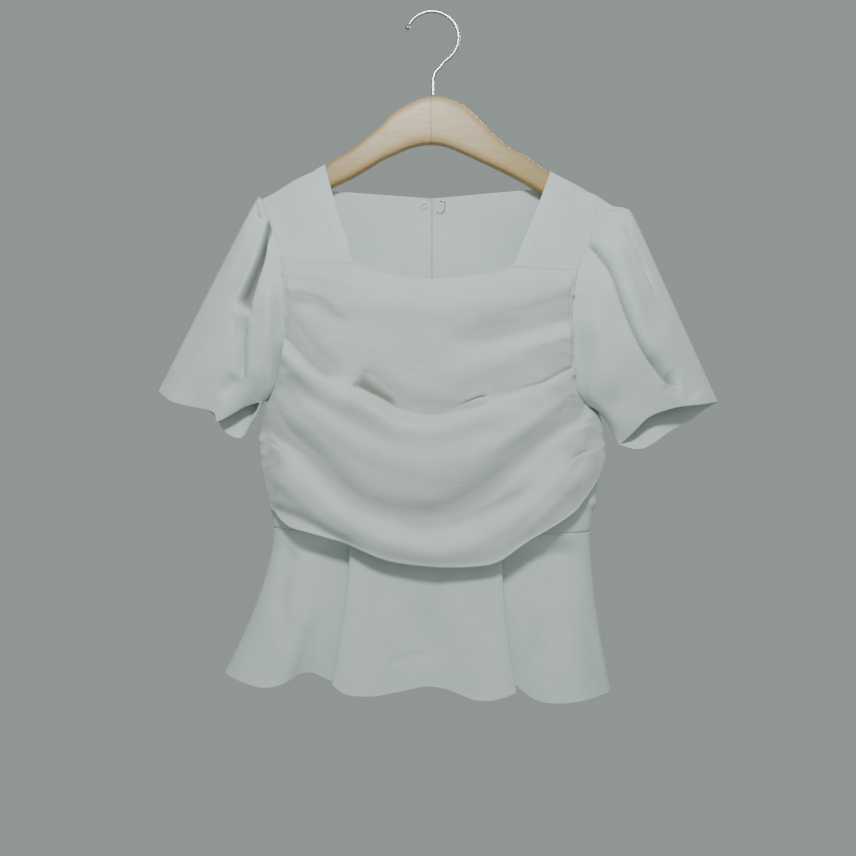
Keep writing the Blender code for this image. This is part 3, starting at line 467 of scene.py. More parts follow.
def linenFinish():
    look = linenLook
    made = Finish("white linen weave")
    warpYarn = made.noise(made.mapped((1 / look["slub"], 1 / look["slubLength"], 1.0)), 1.0)
    weftYarn = made.noise(made.mapped((1 / look["slubLength"], 1 / look["slub"], 1.0)), 1.0)
    slubs = made.smooth(warpYarn, 0.42, 0.75) + made.smooth(weftYarn, 0.42, 0.75)
    mottle = made.noise(made.place(), look["mottle"], 4.0, 0.6)
    # Painted shade: darker where the cloth sinks between its folds, mixed with its random mottle and thick
    # yarns
    mottleAndShade = made.smooth(mottle, 0.3, 0.7) * 0.35 + slubs * 0.12 + made.mark("dip") * 0.5
    shaded = made.mixColour(mottleAndShade, shade(look["white"]), shade(look["shaded"]))
    colour = made.mixColour(made.mark("band") * 0.4, shaded, shade(look["doubled"]))
    # painted shade deep inside pleats
    colour = made.mixColour(made.mark("hollow") * 0.8, colour, shade(look["inside"]))
    rough = made.smooth(slubs, 0.0, 1.4, look["roughness"], look["roughness"] - 0.08)
    heights = made.weave(look["thread"]) * look["weaveHeight"] + slubs * look["slubHeight"]
    made.join(Base_Color=colour, Roughness=rough, Normal=made.bump(heights, 1.0, 0.8))
    made.fix(Sheen_Weight=0.18, Sheen_Roughness=0.5, Specular_IOR_Level=0.28)
    return made.material


# Ivory chiffon: crepe grain and fine streaks, with painted shade where it sinks between its folds and deep in
# its pleats
chiffonLook = {
    "white": (0.715, 0.765, 0.745),
    # painted shade where it sinks between its folds, also the darker side of its cloud and streaks
    "deep": (0.52, 0.545, 0.5),
    # painted shade deep in a pleat
    "inside": (0.23, 0.23, 0.185),
    "thread": 0.00042,
    "crepe": 900.0,
    "streak": (14.0, 190.0, 1.0),
    "cloud": 26.0,
    "roughness": 0.7,
    "weaveHeight": 0.00005,
    "crepeHeight": 0.00012,
    "streakHeight": 0.0005,
}


def chiffonFinish():
    look = chiffonLook
    made = Finish("ivory chiffon")
    crepe = made.noise(made.mapped(), look["crepe"], 2.0, 0.6)
    streak = made.noise(made.mapped(look["streak"]), 1.0, 3.0, 0.55, 0.6)
    cloud = made.smooth(made.noise(made.place(), look["cloud"], 3.0, 0.55), 0.3, 0.75)
    # Painted shade where it sinks between its folds, mixed with random cloud and streaks
    mottleAndShade = made.mark("dip") * 0.9 + cloud * 0.18 + made.smooth(streak, 0.45, 0.8) * 0.16
    colour = made.mixColour(mottleAndShade, shade(look["white"]), shade(look["deep"]))
    # painted shade deep inside pleats
    colour = made.mixColour(made.mark("hollow") * 0.85, colour, shade(look["inside"]))
    rough = made.smooth(crepe, 0.2, 0.8, look["roughness"] - 0.06, look["roughness"] + 0.08)
    heights = made.weave(look["thread"]) * look["weaveHeight"] + crepe * look["crepeHeight"]
    heights = heights + streak * look["streakHeight"]
    made.join(Base_Color=colour, Roughness=rough, Normal=made.bump(heights, 1.0, 0.7))
    made.fix(Sheen_Weight=0.35, Sheen_Roughness=0.35, Specular_IOR_Level=0.35)
    return made.material


tapeLook = {"white": (0.74, 0.76, 0.75), "rib": (0.62, 0.64, 0.63), "pitch": 0.0011, "height": 0.00012}


def tapeFinish():  # close herringbone tape
    look = tapeLook
    made = Finish("white zip tape")
    flat = made.mapped()
    ribs = ((made.axis(flat, "Y") + made.axis(flat, "X").size()) * (2 * math.pi / look["pitch"])).sine()
    colour = made.mixColour(made.smooth(ribs, -1.0, 1.0), shade(look["rib"]), shade(look["white"]))
    rough = made.smooth(ribs, -1.0, 1.0, 0.84, 0.72)
    made.join(Base_Color=colour, Roughness=rough, Normal=made.bump(ribs * look["height"], 1.0, 0.7))
    made.fix(Sheen_Weight=0.1)
    return made.material


threadLook = {"white": (0.78, 0.79, 0.77), "dark": (0.6, 0.61, 0.6), "ply": 1500.0}


def threadFinish():
    look = threadLook
    made = Finish("white sewing thread")
    ply = made.noise(made.place(), look["ply"], 1.0)
    colour = made.mixColour(made.smooth(ply, 0.3, 0.7), shade(look["dark"]), shade(look["white"]))
    rough = made.smooth(ply, 0.3, 0.7, 0.62, 0.5)
    made.join(Base_Color=colour, Roughness=rough)
    made.fix(Sheen_Weight=0.2)
    return made.material


# Light maple under satin lacquer: grain along the bar, fine pores, small flecks, a dark glue line
mapleLook = {
    "pale": (0.61, 0.415, 0.205),
    "grain": (0.5, 0.31, 0.125),
    "fleck": (0.43, 0.25, 0.11),
    "tan": (0.43, 0.27, 0.08),  # towards the ends
    "glue": (0.2, 0.115, 0.055),
    "rings": 420.0,
    "jointX": -0.001,
    "jointHalf": 0.00045,
    "roughness": 0.38,
}


def mapleFinish():
    look = mapleLook
    made = Finish("light maple")
    slow = made.noise(made.place((5.0, 26.0, 34.0)), 1.0, 4.0, 0.6, 1.2)
    rings = (made.axis(made.place(), "Z") * look["rings"] + slow * 34.0).sine()
    pores = made.noise(made.place((60.0, 900.0, 900.0)), 1.0, 2.0, 0.6)
    flecks = made.noise(made.place((120.0, 420.0, 420.0)), 1.0, 3.0, 0.5)
    sideways = made.axis(made.place(), "X")
    joint = 1 - made.smooth((sideways - look["jointX"]).size(), 0.0, look["jointHalf"])
    body = made.mixColour(made.smooth(rings, -0.6, 1.0) * 0.16 + made.smooth(slow, 0.3, 0.75) * 0.55,
                          shade(look["pale"]), shade(look["grain"]))
    body = made.mixColour(made.smooth(sideways.size(), 0.02, 0.11) * 0.8, body, shade(look["tan"]))
    flecked = made.mixColour(made.smooth(flecks, 0.62, 0.8) * 0.5, body, shade(look["fleck"]))
    colour = made.mixColour(joint, flecked, shade(look["glue"]))
    rough = made.smooth(pores, 0.3, 0.8, look["roughness"], look["roughness"] + 0.16)
    heights = pores * 0.00006 + rings * 0.00002 - joint * 0.0004
    made.join(Base_Color=colour, Roughness=rough, Normal=made.bump(heights, 1.0, 0.6))
    made.fix(Coat_Weight=0.25, Coat_Roughness=0.3, Specular_IOR_Level=0.4)
    return made.material


steelLook = {"bright": (0.58, 0.57, 0.55), "dull": (0.44, 0.43, 0.41), "smooth": 0.14, "worn": 0.26}


def steelFinish():
    look = steelLook
    made = Finish("bright steel wire")
    wear = made.noise(made.place(), 420.0, 4.0, 0.65)
    drawn = made.noise(made.place((300.0, 300.0, 2600.0)), 1.0, 2.0)
    worn = made.smooth(wear, 0.45, 0.75)
    colour = made.mixColour(worn, shade(look["bright"]), shade(look["dull"]))
    rough = made.smooth(wear, 0.3, 0.8, look["smooth"], look["worn"])
    made.join(Base_Color=colour, Roughness=rough, Normal=made.bump(drawn * 0.000008, 1.0, 0.2))
    made.fix(Metallic=1.0)
    return made.material


linen = linenFinish()
chiffon = chiffonFinish()
zipTapeWeave = tapeFinish()
thread = threadFinish()
maple = mapleFinish()
steel = steelFinish()
print("materials made")


def rolled(x, z, lines, width, depth):  # edges turned in at a seam
    total = np.zeros(x.shape)
    for line in lines:
        total -= depth * np.exp(-(nearPath(x, z, line)[0] / width) ** 2)
    return total


def apart(x, z, *lines):  # distance from the nearest of some lines
    return np.min([np.abs(nearPath(x, z, line)[0]) for line in lines], axis=0)


def puckers(x, z, line, look, seed):  # uneven little gathers that start in a seam and fade away from it
    distance, place = nearPath(x, z, line)
    length = lengthAlong(smoothLine(line))[-1]
    count = max(int(length / look["pitch"]), 1)
    dice = np.random.default_rng(seed)
    far = np.abs(distance)
    place = place + look["tilt"] * far / length
    total = np.zeros(x.shape)
    for step in range(count):
        centre = (step + 0.5 + dice.uniform(-0.35, 0.35)) / count
        half = look["pitch"] / length * dice.uniform(0.24, 0.5)
        height = look["height"] * dice.uniform(0.3, 1.0) * dice.choice((1.0, 1.0, -0.7))
        reach = look["reach"] * dice.uniform(0.45, 1.5)
        total += height * np.exp(-((place - centre) / half) ** 2) * np.exp(-(far / reach) ** 1.4)
    return total


# Plain shoulder straps between the square neck and the armholes
yokeForm = {
    "rows": 84,
    "columns": 52,
    "roll": (0.0008, 0.00012),
    "dents": (0.06, 0.0011),
    "gathers": {"pitch": 0.0075, "height": 0.0007, "reach": 0.009, "tilt": 0.0},
    "calm": 0.009,  # width beside the seams in which the cloth lies flat
    "facing": 0.011,  # width over which the neck facing stiffens the edge
    "facingEdge": 0.0025,
    "facingRise": 0.0002,
    "sunk": 0.0012,  # depth at which its shade is full
    "flat": (0.072, 0.108),
    "area": 0.0064,
}


def makeYoke(side, seed):
    cut, form = cuts[side], yokeForm
    across, down = even(form["columns"]), crowded(form["rows"], 1.5, 1.0)
    grid = patch(follow((cut["tip"], cut["neckPoint"]), across, False), follow(cut["yokeSeam"], across),
                 follow(cut["armholeYoke"], down), follow(cut["strapEdge"], down), across, down)
    x, z = grid[..., 0], grid[..., 1]
    relief = rolled(x, z, (cut["armholeYoke"], cut["yokeSeam"]), *form["roll"])
    relief += ripples(x, z, form["dents"][0], seed, form["dents"][1])
    relief += puckers(x, z, cut["armholeYoke"], form["gathers"], seed)
    relief *= 0.1 + 0.9 * eased(apart(x, z, cut["yokeSeam"], cut["armholeYoke"]) / form["calm"])
    neckGap = apart(x, z, cut["strapEdge"])
    band = 1 - eased((neckGap - form["facing"]) / form["facingEdge"] + 0.5)
    relief = relief * (1 - 0.7 * band) + form["facingRise"] * band
    # painted shade where the strap's cloth sinks
    marks = {"band": band, "dip": eased(-relief / form["sunk"])}
    piece = clothMesh("frontYoke" + side.title(), onBody(grid, "front", relief), linen, wall["cloth"],
                      flip=side == "right", marks=marks)
    finish(piece, ["front_yoke_" + side])


# Plain front under the drape, and the drape gathered over it into both side seams
baseForm = {
    "rows": 110,
    "columns": 120,
    "roll": (0.0011, 0.00022),
    "dents": (0.05, 0.0006),
    "gathers": {"pitch": 0.011, "height": 0.0011, "reach": 0.013, "tilt": 0.2},
    "tuft": ((0.157, -0.489, 0.0065, 0.0024),),  # place, size and height of a puff under the drape's end
    "covered": (0.135, 0.0003),  # half width that the drape covers, and the highest relief there
    "waistEase": 0.008,
    "sunk": 0.0015,
    "flat": (0.35, 0.265),
    "area": 0.085,
}
drapeForm = {
    "rows": 210,
    "columns": 190,
    "inset": 0.985,
    "off": 0.003,
    "sewn": 0.0009,  # its lift in the seams
    "sewnEase": 0.007,
    "bead": (0.0008, 0.0014, 0.001),  # small ridge beside the seams: height, place and width
    "hemOff": 0.0125,  # how far its loose edge stands off, and how high up that starts
    "hemReach": 0.1,
    "hemHalf": 0.16,
    "puff": 0.0036,
    "topRest": (-0.262, 0.02),
    "sideRest": (0.162, 0.02),
    "seamHalf": (0.17, 0.02),
    "folds": 1.15,  # how much the soft folds stand out
    "top": ((-0.1465, -0.2504), (-0.11, -0.2548), (-0.076, -0.256), (-0.053, -0.2642), (-0.031, -0.2683),
            (0.003, -0.2722), (0.056, -0.266), (0.078, -0.2588), (0.11, -0.2606), (0.141, -0.2602)),
    "hem": ((-0.16, -0.4905), (-0.1366, -0.509), (-0.1165, -0.515), (-0.0874, -0.5236), (-0.0683, -0.531),
            (-0.0492, -0.5385), (-0.0303, -0.5432), (0.0076, -0.547), (0.0454, -0.546), (0.0645, -0.541),
            (0.0836, -0.5275), (0.1028, -0.5155), (0.1225, -0.504), (0.1376, -0.4929), (0.146, -0.483),
            (0.1565, -0.4715)),
    "gathers": {"pitch": 0.008, "height": 0.0012, "reach": 0.01, "tilt": 0.28},
    "tucks": {"pitch": 0.015, "height": 0.0009, "reach": 0.04, "tilt": 0.42},
    "crinkle": (0.03, 0.0004),
    "floor": (0.0012, 0.0003),  # how softly its sunk places level out, just over the base
    "sunk": (0.0015, 0.0105, 0.006),  # where its shade starts, over how much it deepens, and that in a pleat
    "rolledHem": (0.0007, 0.0012, 0.0013),  # height, place and width
    "flat": (0.37, 0.345),
    "area": 0.118,
}
# path, width above it and below it, height, and the share over which its start and its end fade
drapeFolds = (
    (((-0.142, -0.2905), (-0.111, -0.2955), (-0.091, -0.309), (-0.0727, -0.3184)),
     0.005, 0.008, -0.0032, 0, 0.4),
    (((-0.142, -0.312), (-0.127, -0.338), (-0.105, -0.357), (-0.08, -0.366)), 0.012, 0.008, -0.0062, 0, 0.3),
    (((-0.144, -0.34), (-0.118, -0.364), (-0.08, -0.386), (-0.035, -0.41)), 0.008, 0.014, 0.0064, 0, 0.3),
    (((-0.076, -0.362), (-0.0542, -0.377), (-0.0304, -0.395), (-0.005, -0.401), (0.0228, -0.3985),
      (0.048, -0.388)), 0.014, 0.005, -0.0046, 0.15, 0.3),
    (((0.05, -0.386), (0.091, -0.3778), (0.134, -0.36)), 0.007, 0.004, -0.002, 0.2, 0),
    (((-0.07, -0.391), (-0.032, -0.413), (0.01, -0.416), (0.05, -0.4), (0.085, -0.389)),
     0.006, 0.013, 0.0054, 0.2, 0.25),
    (((0.003, -0.3366), (0.043, -0.329), (0.104, -0.3137), (0.137, -0.302)), 0.012, 0.01, -0.0046, 0.4, 0),
    (((-0.16, -0.41), (-0.1233, -0.437), (-0.0985, -0.4627), (-0.068, -0.4876), (-0.0325, -0.498),
      (0.003, -0.498), (0.041, -0.483), (0.0784, -0.4503), (0.106, -0.4273), (0.14, -0.4)),
     0.015, 0.0075, -0.0082, 0, 0),
    (((-0.0526, -0.5106), (-0.0124, -0.5096), (0.0277, -0.503), (0.0784, -0.483), (0.104, -0.4627)),
     0.008, 0.0055, -0.005, 0.25, 0.2),
    (((-0.158, -0.492), (-0.1233, -0.503), (-0.0985, -0.5154), (-0.0727, -0.529), (-0.0526, -0.538)),
     0.007, 0.005, -0.0042, 0, 0.3),
    (((0.0, -0.365), (0.04, -0.358), (0.08, -0.346), (0.132, -0.328)), 0.014, 0.016, 0.0036, 0.3, 0),
    (((-0.11, -0.285), (-0.02, -0.3), (0.06, -0.294), (0.12, -0.284)),
     0.016, 0.016, 0.003, 0.25, 0.25),
    (((-0.14, -0.385), (-0.07, -0.43), (0.0, -0.45), (0.06, -0.43), (0.13, -0.38)),
     0.024, 0.024, 0.008, 0.1, 0.1),
    (((-0.15, -0.45), (-0.08, -0.505), (0.0, -0.53), (0.07, -0.51), (0.142, -0.45)),
     0.016, 0.014, 0.007, 0.05, 0.05),
    (((-0.145, -0.35), (-0.108, -0.391), (-0.06, -0.42), (-0.01, -0.433)), 0.007, 0.009, -0.0012, 0, 0.5),
    (((0.02, -0.436), (0.07, -0.414), (0.11, -0.389), (0.141, -0.371)), 0.008, 0.008, -0.0014, 0.5, 0),
    (((-0.166, -0.438), (-0.125, -0.472), (-0.085, -0.507), (-0.035, -0.527)), 0.006, 0.006, -0.0012, 0, 0.4),
    (((0.01, -0.533), (0.062, -0.519), (0.11, -0.48), (0.158, -0.424)), 0.007, 0.006, -0.0016, 0.4, 0),
    (((-0.148, -0.372), (-0.11, -0.412), (-0.062, -0.449), (0.0, -0.466)), 0.007, 0.007, -0.0009, 0, 0.5),
    (((0.03, -0.457), (0.082, -0.431), (0.116, -0.402), (0.15, -0.388)), 0.007, 0.006, -0.0011, 0.5, 0),
    (((0.05, -0.312), (0.096, -0.3), (0.138, -0.287)), 0.006, 0.006, -0.0016, 0.6, 0),
    (((0.06, -0.345), (0.1, -0.334), (0.137, -0.322)), 0.006, 0.006, 0.0018, 0.6, 0),
    (((-0.143, -0.272), (-0.1, -0.279), (-0.06, -0.292)), 0.007, 0.007, -0.0014, 0, 0.6),
)
# path, side over it (1 above, -1 below), lean, reach, rise, sink, widths at its ends, edge, steepness, fades
drapeLaps = (
    (((-0.078, -0.3745), (-0.074, -0.3775), (-0.0555, -0.3867), (-0.043, -0.393), (-0.028, -0.401)),
     -1, (0.2, 1.0), 0.004, 0.0034, 0.016, (0.0175, 0.007), 0.0022, 4, (0.18, 0.35)),
    (((-0.042, -0.394), (-0.02, -0.4035), (0.0, -0.4065), (0.02, -0.404), (0.04, -0.395)),
     -1, (0.0, 1.0), 0.003, 0.0026, 0.0034, (0.004, 0.004), 0.0034, 2, (0.25, 0.35)),
    (((0.01, -0.403), (0.022, -0.3985), (0.033, -0.393), (0.044, -0.3885), (0.056, -0.385)),
     -1, (0.0, 1.0), 0.0026, 0.0034, 0.006, (0.0034, 0.003), 0.0018, 3, (0.25, 0.25)),
    (((0.08, -0.38), (0.105, -0.374), (0.125, -0.364), (0.139, -0.357)),
     -1, (0.0, 1.0), 0.0016, 0.0012, 0.0026, (0.003, 0.004), 0.002, 3, (0.3, 0.1)),
    (((-0.144, -0.288), (-0.12, -0.289), (-0.1, -0.298), (-0.085, -0.31)),
     -1, (0.0, 1.0), 0.0006, 0.0004, 0.001, (0.005, 0.004), 0.0036, 2, (0.1, 0.6)),
    (((-0.146, -0.325), (-0.129, -0.344), (-0.109, -0.363), (-0.086, -0.374)),
     -1, (0.0, 1.0), 0.0024, 0.0022, 0.0062, (0.013, 0.009), 0.004, 2, (0.05, 0.3)),
    (((0.08, -0.456), (0.108, -0.434), (0.13, -0.419), (0.155, -0.41)),
     -1, (0.0, 1.0), 0.001, 0.0006, 0.0012, (0.003, 0.004), 0.0024, 2, (0.5, 0.1)),
    (((0.118, -0.458), (0.135, -0.445), (0.15, -0.439), (0.164, -0.436)),
     -1, (0.0, 1.0), 0.001, 0.0006, 0.0012, (0.0026, 0.0034), 0.0022, 2, (0.5, 0.1)),
    (((0.132, -0.384), (0.144, -0.401), (0.156, -0.409)),
     -1, (0.0, 1.0), 0.0008, 0.0006, 0.0014, (0.003, 0.0034), 0.0022, 2, (0.4, 0.1)),
    (((-0.166, -0.43), (-0.152, -0.433), (-0.138, -0.442)),
     -1, (0.0, 1.0), 0.0008, 0.0006, 0.0016, (0.0036, 0.003), 0.0024, 2, (0.1, 0.5)),
)
# Little tufts of gathered chiffon that stand up out of the seams: place, size and height
drapeTufts = (
    (0.1375, -0.286, 0.003, 0.0034), (0.1362, -0.362, 0.0032, 0.0034), (0.137, -0.356, 0.0022, 0.002),
    (-0.1432, -0.266, 0.0026, 0.002), (-0.144, -0.306, 0.0024, 0.0018), (0.164, -0.447, 0.015, 0.003),
    (0.16, -0.469, 0.0042, 0.0022), (0.165, -0.432, 0.003, 0.0012), (-0.1655, -0.427, 0.0034, 0.0022),
    (-0.164, -0.44, 0.003, 0.0014),
)


def tufts(x, z, rows):
    return sum(height * np.exp(-((x - tuftX) ** 2 + (z - tuftZ) ** 2) / size ** 2)
               for tuftX, tuftZ, size, height in rows)


def frontSides(side):
    return list(cuts[side]["armholeBase"]) + list(cuts[side]["sideSeam"][1:])


frontEdge = {"top": 0.999, "aboveHem": 0.006, "underarm": -0.392, "ease": 0.02}


def frontGrid(across, down, upper=baseTop, hem=None, inset=1.0):  # grid between the side seams
    edges = []
    for side in ("left", "right"):
        line = [upper[0 if side == "left" else -1]] + frontSides(side)[1:]
        if hem:
            end = hem[0] if side == "left" else hem[-1]
            line = [p for p in line if p[1] > end[1] + frontEdge["aboveHem"]] + [end]
        high = [float(eased((z - frontEdge["underarm"]) / frontEdge["ease"])) for x, z in line]
        tight = [inset + (frontEdge["top"] - inset) * share for share in high]
        edges.append(follow([(x * k, z) for (x, z), k in zip(line, tight)], down))
    low = [(x * inset, z) for x, z in hem or (waist["left"], waist["right"])]
    top = [(x * frontEdge["top"], z) for x, z in upper]
    return patch(follow(top, across), follow(low, across), edges[0], edges[1], across, down)


def makeFrontBase():
    form = baseForm
    grid = frontGrid(crowded(form["columns"], 1.7, 1.7), even(form["rows"]))
    x, z = grid[..., 0], grid[..., 1]
    relief = rolled(x, z, (baseTop,), *form["roll"]) + ripples(x, z, form["dents"][0], 4, form["dents"][1])
    relief += puckers(x, z, cuts["right"]["sideSeam"], form["gathers"], 8)
    relief += puckers(x, z, cuts["left"]["sideSeam"], form["gathers"], 9)
    half, highest = form["covered"]
    relief = np.where(np.abs(x) < half, np.minimum(relief, highest), relief) + tufts(x, z, form["tuft"])
    relief *= eased((z - waist["right"][1]) / form["waistEase"] + 0.15)  # flush with the peplum at the waist
    # painted shade where the base's cloth sinks
    piece = clothMesh("frontBase", onBody(grid, "front", relief), linen, wall["cloth"],
                      marks={"dip": eased(-relief / form["sunk"])})
    finish(piece, ["front_base"])


def bead(gap, height, place, width):  # a narrow ridge beside an edge
    return height * np.exp(-((gap - place) / width) ** 2)


def drapeRelief(x, z, hemGap):  # the drape's lift off the base, and the painted shade of its sunk places and pleats
    form = drapeForm
    hang = eased(1 - hemGap / form["hemReach"])
    middle = np.maximum(1 - (np.abs(x) / form["hemHalf"]) ** 4, 0.0)
    sides = eased((form["sideRest"][0] - np.abs(x)) / form["sideRest"][1])
    folds = form["folds"] * foldRelief(x, z, drapeFolds)
    small = ripples(x, z, form["crinkle"][0], 21, form["crinkle"][1])
    for side, seed in (("left", 31), ("right", 57)):
        small += puckers(x, z, frontSides(side), form["gathers"], seed)
        small += puckers(x, z, frontSides(side), form["tucks"], seed + 1)
    small *= 0.4 + 0.6 * eased((form["seamHalf"][0] - np.abs(x)) / form["seamHalf"][1])
    shiftZ, lapped, hollow = laps(x, z, drapeLaps)[1:]
    lift = form["hemOff"] * hang * middle + sides * (folds + lapped + form["puff"]) + small
    soft = 0.5 * (lift + np.sqrt(lift ** 2 + form["floor"][0] ** 2)) - form["floor"][1]
    top = eased((form["topRest"][0] - z) / form["topRest"][1])
    sewn = apart(x, z, baseTop, cuts["left"]["armholeBase"], cuts["right"]["armholeBase"])
    free = eased(sewn / form["sewnEase"])
    off = form["sewn"] + (form["off"] - form["sewn"]) * free
    relief = off + np.maximum(soft, 0.0) * top * (0.15 + 0.85 * free)
    relief += bead(sewn, *form["bead"]) + tufts(x, z, drapeTufts)
    start, more, inPleat = form["sunk"]
    # painted shade where the drape sinks between its folds and under its laps
    dip = np.maximum(eased((start - folds - small) / more), eased(-lapped / inPleat))
    return relief, dip, hollow * free, shiftZ * free


def makeFrontDrape():
    form = drapeForm
    grid = frontGrid(crowded(form["columns"], 1.25, 1.25), even(form["rows"]), form["top"], form["hem"],
                     form["inset"])
    x, z = grid[..., 0], grid[..., 1]
    hemGap = apart(x, z, form["hem"])
    relief, dip, hollow, shiftZ = drapeRelief(x, z, hemGap)
    grid[..., 1] += shiftZ
    relief += bead(hemGap, *form["rolledHem"])
    piece = clothMesh("frontDrape", onBody(grid, "front", relief), chiffon, wall["thin"],
                     marks={"dip": dip, "hollow": hollow})
    finish(piece, ["front_drape"])


# Two backs parted by the zip, and the facing inside their neckline
backForm = {
    "rows": 150,
    "columns": 90,
    "roll": (0.0013, 0.0003),
    "dents": (0.075, 0.001),
    "gathers": {"pitch": 0.012, "height": 0.001, "reach": 0.012, "tilt": 0.0},
    "flatTop": (-0.225, 0.05),  # it lies flat above this height, over the facing and the hanger
    "calm": {"centre": (0.004, 0.02), "side": (0.165, 0.02), "armhole": 0.014, "waist": 0.008},
    "sunk": 0.003,
    "flat": (0.175, 0.36),
    "area": 0.056,
}
backFolds = {
    "left": (
        (((-0.15, -0.29), (-0.122, -0.35), (-0.104, -0.43)), 0.012, 0.018, -0.0052, 0.15, 0.5),
        (((-0.06, -0.33), (-0.055, -0.42), (-0.062, -0.512)), 0.016, 0.012, 0.0044, 0.5, 0.1),
        (((-0.162, -0.42), (-0.13, -0.45), (-0.085, -0.5)), 0.009, 0.007, -0.0036, 0.1, 0.4),
        (((-0.16, -0.45), (-0.125, -0.478), (-0.1, -0.51)), 0.007, 0.008, 0.0026, 0.1, 0.4),
        (((-0.118, -0.2), (-0.088, -0.26), (-0.078, -0.33)), 0.018, 0.013, 0.003, 0.4, 0.5),
        (((-0.025, -0.38), (-0.032, -0.45), (-0.028, -0.512)), 0.01, 0.012, -0.0026, 0.5, 0.2),
    ),
    "right": (
        (((0.146, -0.3), (0.12, -0.365), (0.106, -0.44)), 0.014, 0.015, -0.0048, 0.15, 0.5),
        (((0.05, -0.34), (0.06, -0.43), (0.052, -0.514)), 0.013, 0.016, 0.004, 0.5, 0.1),
        (((0.16, -0.438), (0.125, -0.462), (0.094, -0.505)), 0.008, 0.009, -0.0034, 0.1, 0.4),
        (((0.158, -0.465), (0.13, -0.486), (0.108, -0.512)), 0.007, 0.007, 0.0024, 0.1, 0.4),
        (((0.12, -0.21), (0.095, -0.27), (0.082, -0.345)), 0.016, 0.014, 0.0028, 0.4, 0.5),
        (((0.022, -0.4), (0.03, -0.46), (0.024, -0.514)), 0.01, 0.01, -0.0022, 0.5, 0.2),
    ),
}
facingForm = {"rows": 60, "columns": 60, "low": -0.266, "drop": 0.001, "dents": (0.04, 0.0002),
              "overTape": 0.034, "rise": 0.016, "flat": (0.125, 0.102), "area": 0.01}


def makeBack(side, seed):
    cut, form = cuts[side], backForm
    centre = (cut["sign"] * backNeck["centre"], backNeck["top"])
    low = (centre[0], (waist["left"][1] + waist["right"][1]) / 2)
    across, down = crowded(form["columns"], 1.5, 1.1), crowded(form["rows"], 1.4, 1.0)
    grid = patch(follow((cut["tip"], cut["neckPoint"], centre), across, False),
                 follow((waist[side], low), across, False),
                 follow(list(cut["armholeBack"]) + list(cut["sideSeam"][1:]), down),
                 follow((centre, low), down, False), across, down)
    x, z = grid[..., 0], grid[..., 1]
    relief = rolled(x, z, (cut["armholeBack"], (waist[side], low), (centre, low)), *form["roll"])
    relief += puckers(x, z, cut["armholeBack"], form["gathers"], seed)
    relief += puckers(x, z, (waist[side], low), form["gathers"], seed + 1)
    calm, (topFlat, topEase) = form["calm"], form["flatTop"]
    soft = ripples(x, z, form["dents"][0], seed, form["dents"][1]) + foldRelief(x, z, backFolds[side])
    soft *= eased((np.abs(x) - calm["centre"][0]) / calm["centre"][1])
    soft *= eased((calm["side"][0] - np.abs(x)) / calm["side"][1])
    relief += eased((topFlat - z) / topEase) * soft
    relief *= 0.1 + 0.9 * eased(apart(x, z, cut["armholeBack"]) / calm["armhole"])
    relief *= eased((z - low[1]) / calm["waist"] + 0.15)
    # painted shade where the back's cloth sinks
    piece = clothMesh("back" + side.title(), onBody(grid, "back", relief), linen, wall["cloth"],
                      flip=side == "left", marks={"dip": eased(-relief / form["sunk"])},
                      trim=(cut["neckPoint"], cut["backNeckCorner"], (0.0, backNeck["z"])))
    finish(piece, ["back_" + side])


def makeFacing(side, seed):
    cut, form = cuts[side], facingForm
    start, end = cut["facingEdge"][0], cut["facingEdge"][-1]
    centre = (2 * cut["sign"] * backNeck["centre"], start[1])
    low = (centre[0], form["low"])
    across, down = even(form["columns"]), even(form["rows"])
    grid = patch(follow((start, centre), across, False), follow((end, low), across, False),
                 follow(cut["facingEdge"], down), follow((centre, low), down, False), across, down)
    x, z = grid[..., 0], grid[..., 1]
    over = eased((form["overTape"] - np.abs(x)) / form["rise"]) * (wall["tape"] + 2 * wall["gap"])
    off = ripples(x, z, form["dents"][0], seed, form["dents"][1]) - (wall["cloth"] + 3 * wall["gap"] + over)
    neckX, neckZ = cut["backNeckCorner"]
    corner = (neckX - cut["sign"] * form["drop"] / 2, neckZ - form["drop"])
    piece = clothMesh("facing" + side.title(), onBody(grid, "back", off), linen, wall["thin"],
                      flip=side == "left", marks={"band": np.ones(x.shape)},
                      trim=(start, corner, (0.0, backNeck["z"] - form["drop"])))
    finish(piece, ["facing_" + side])


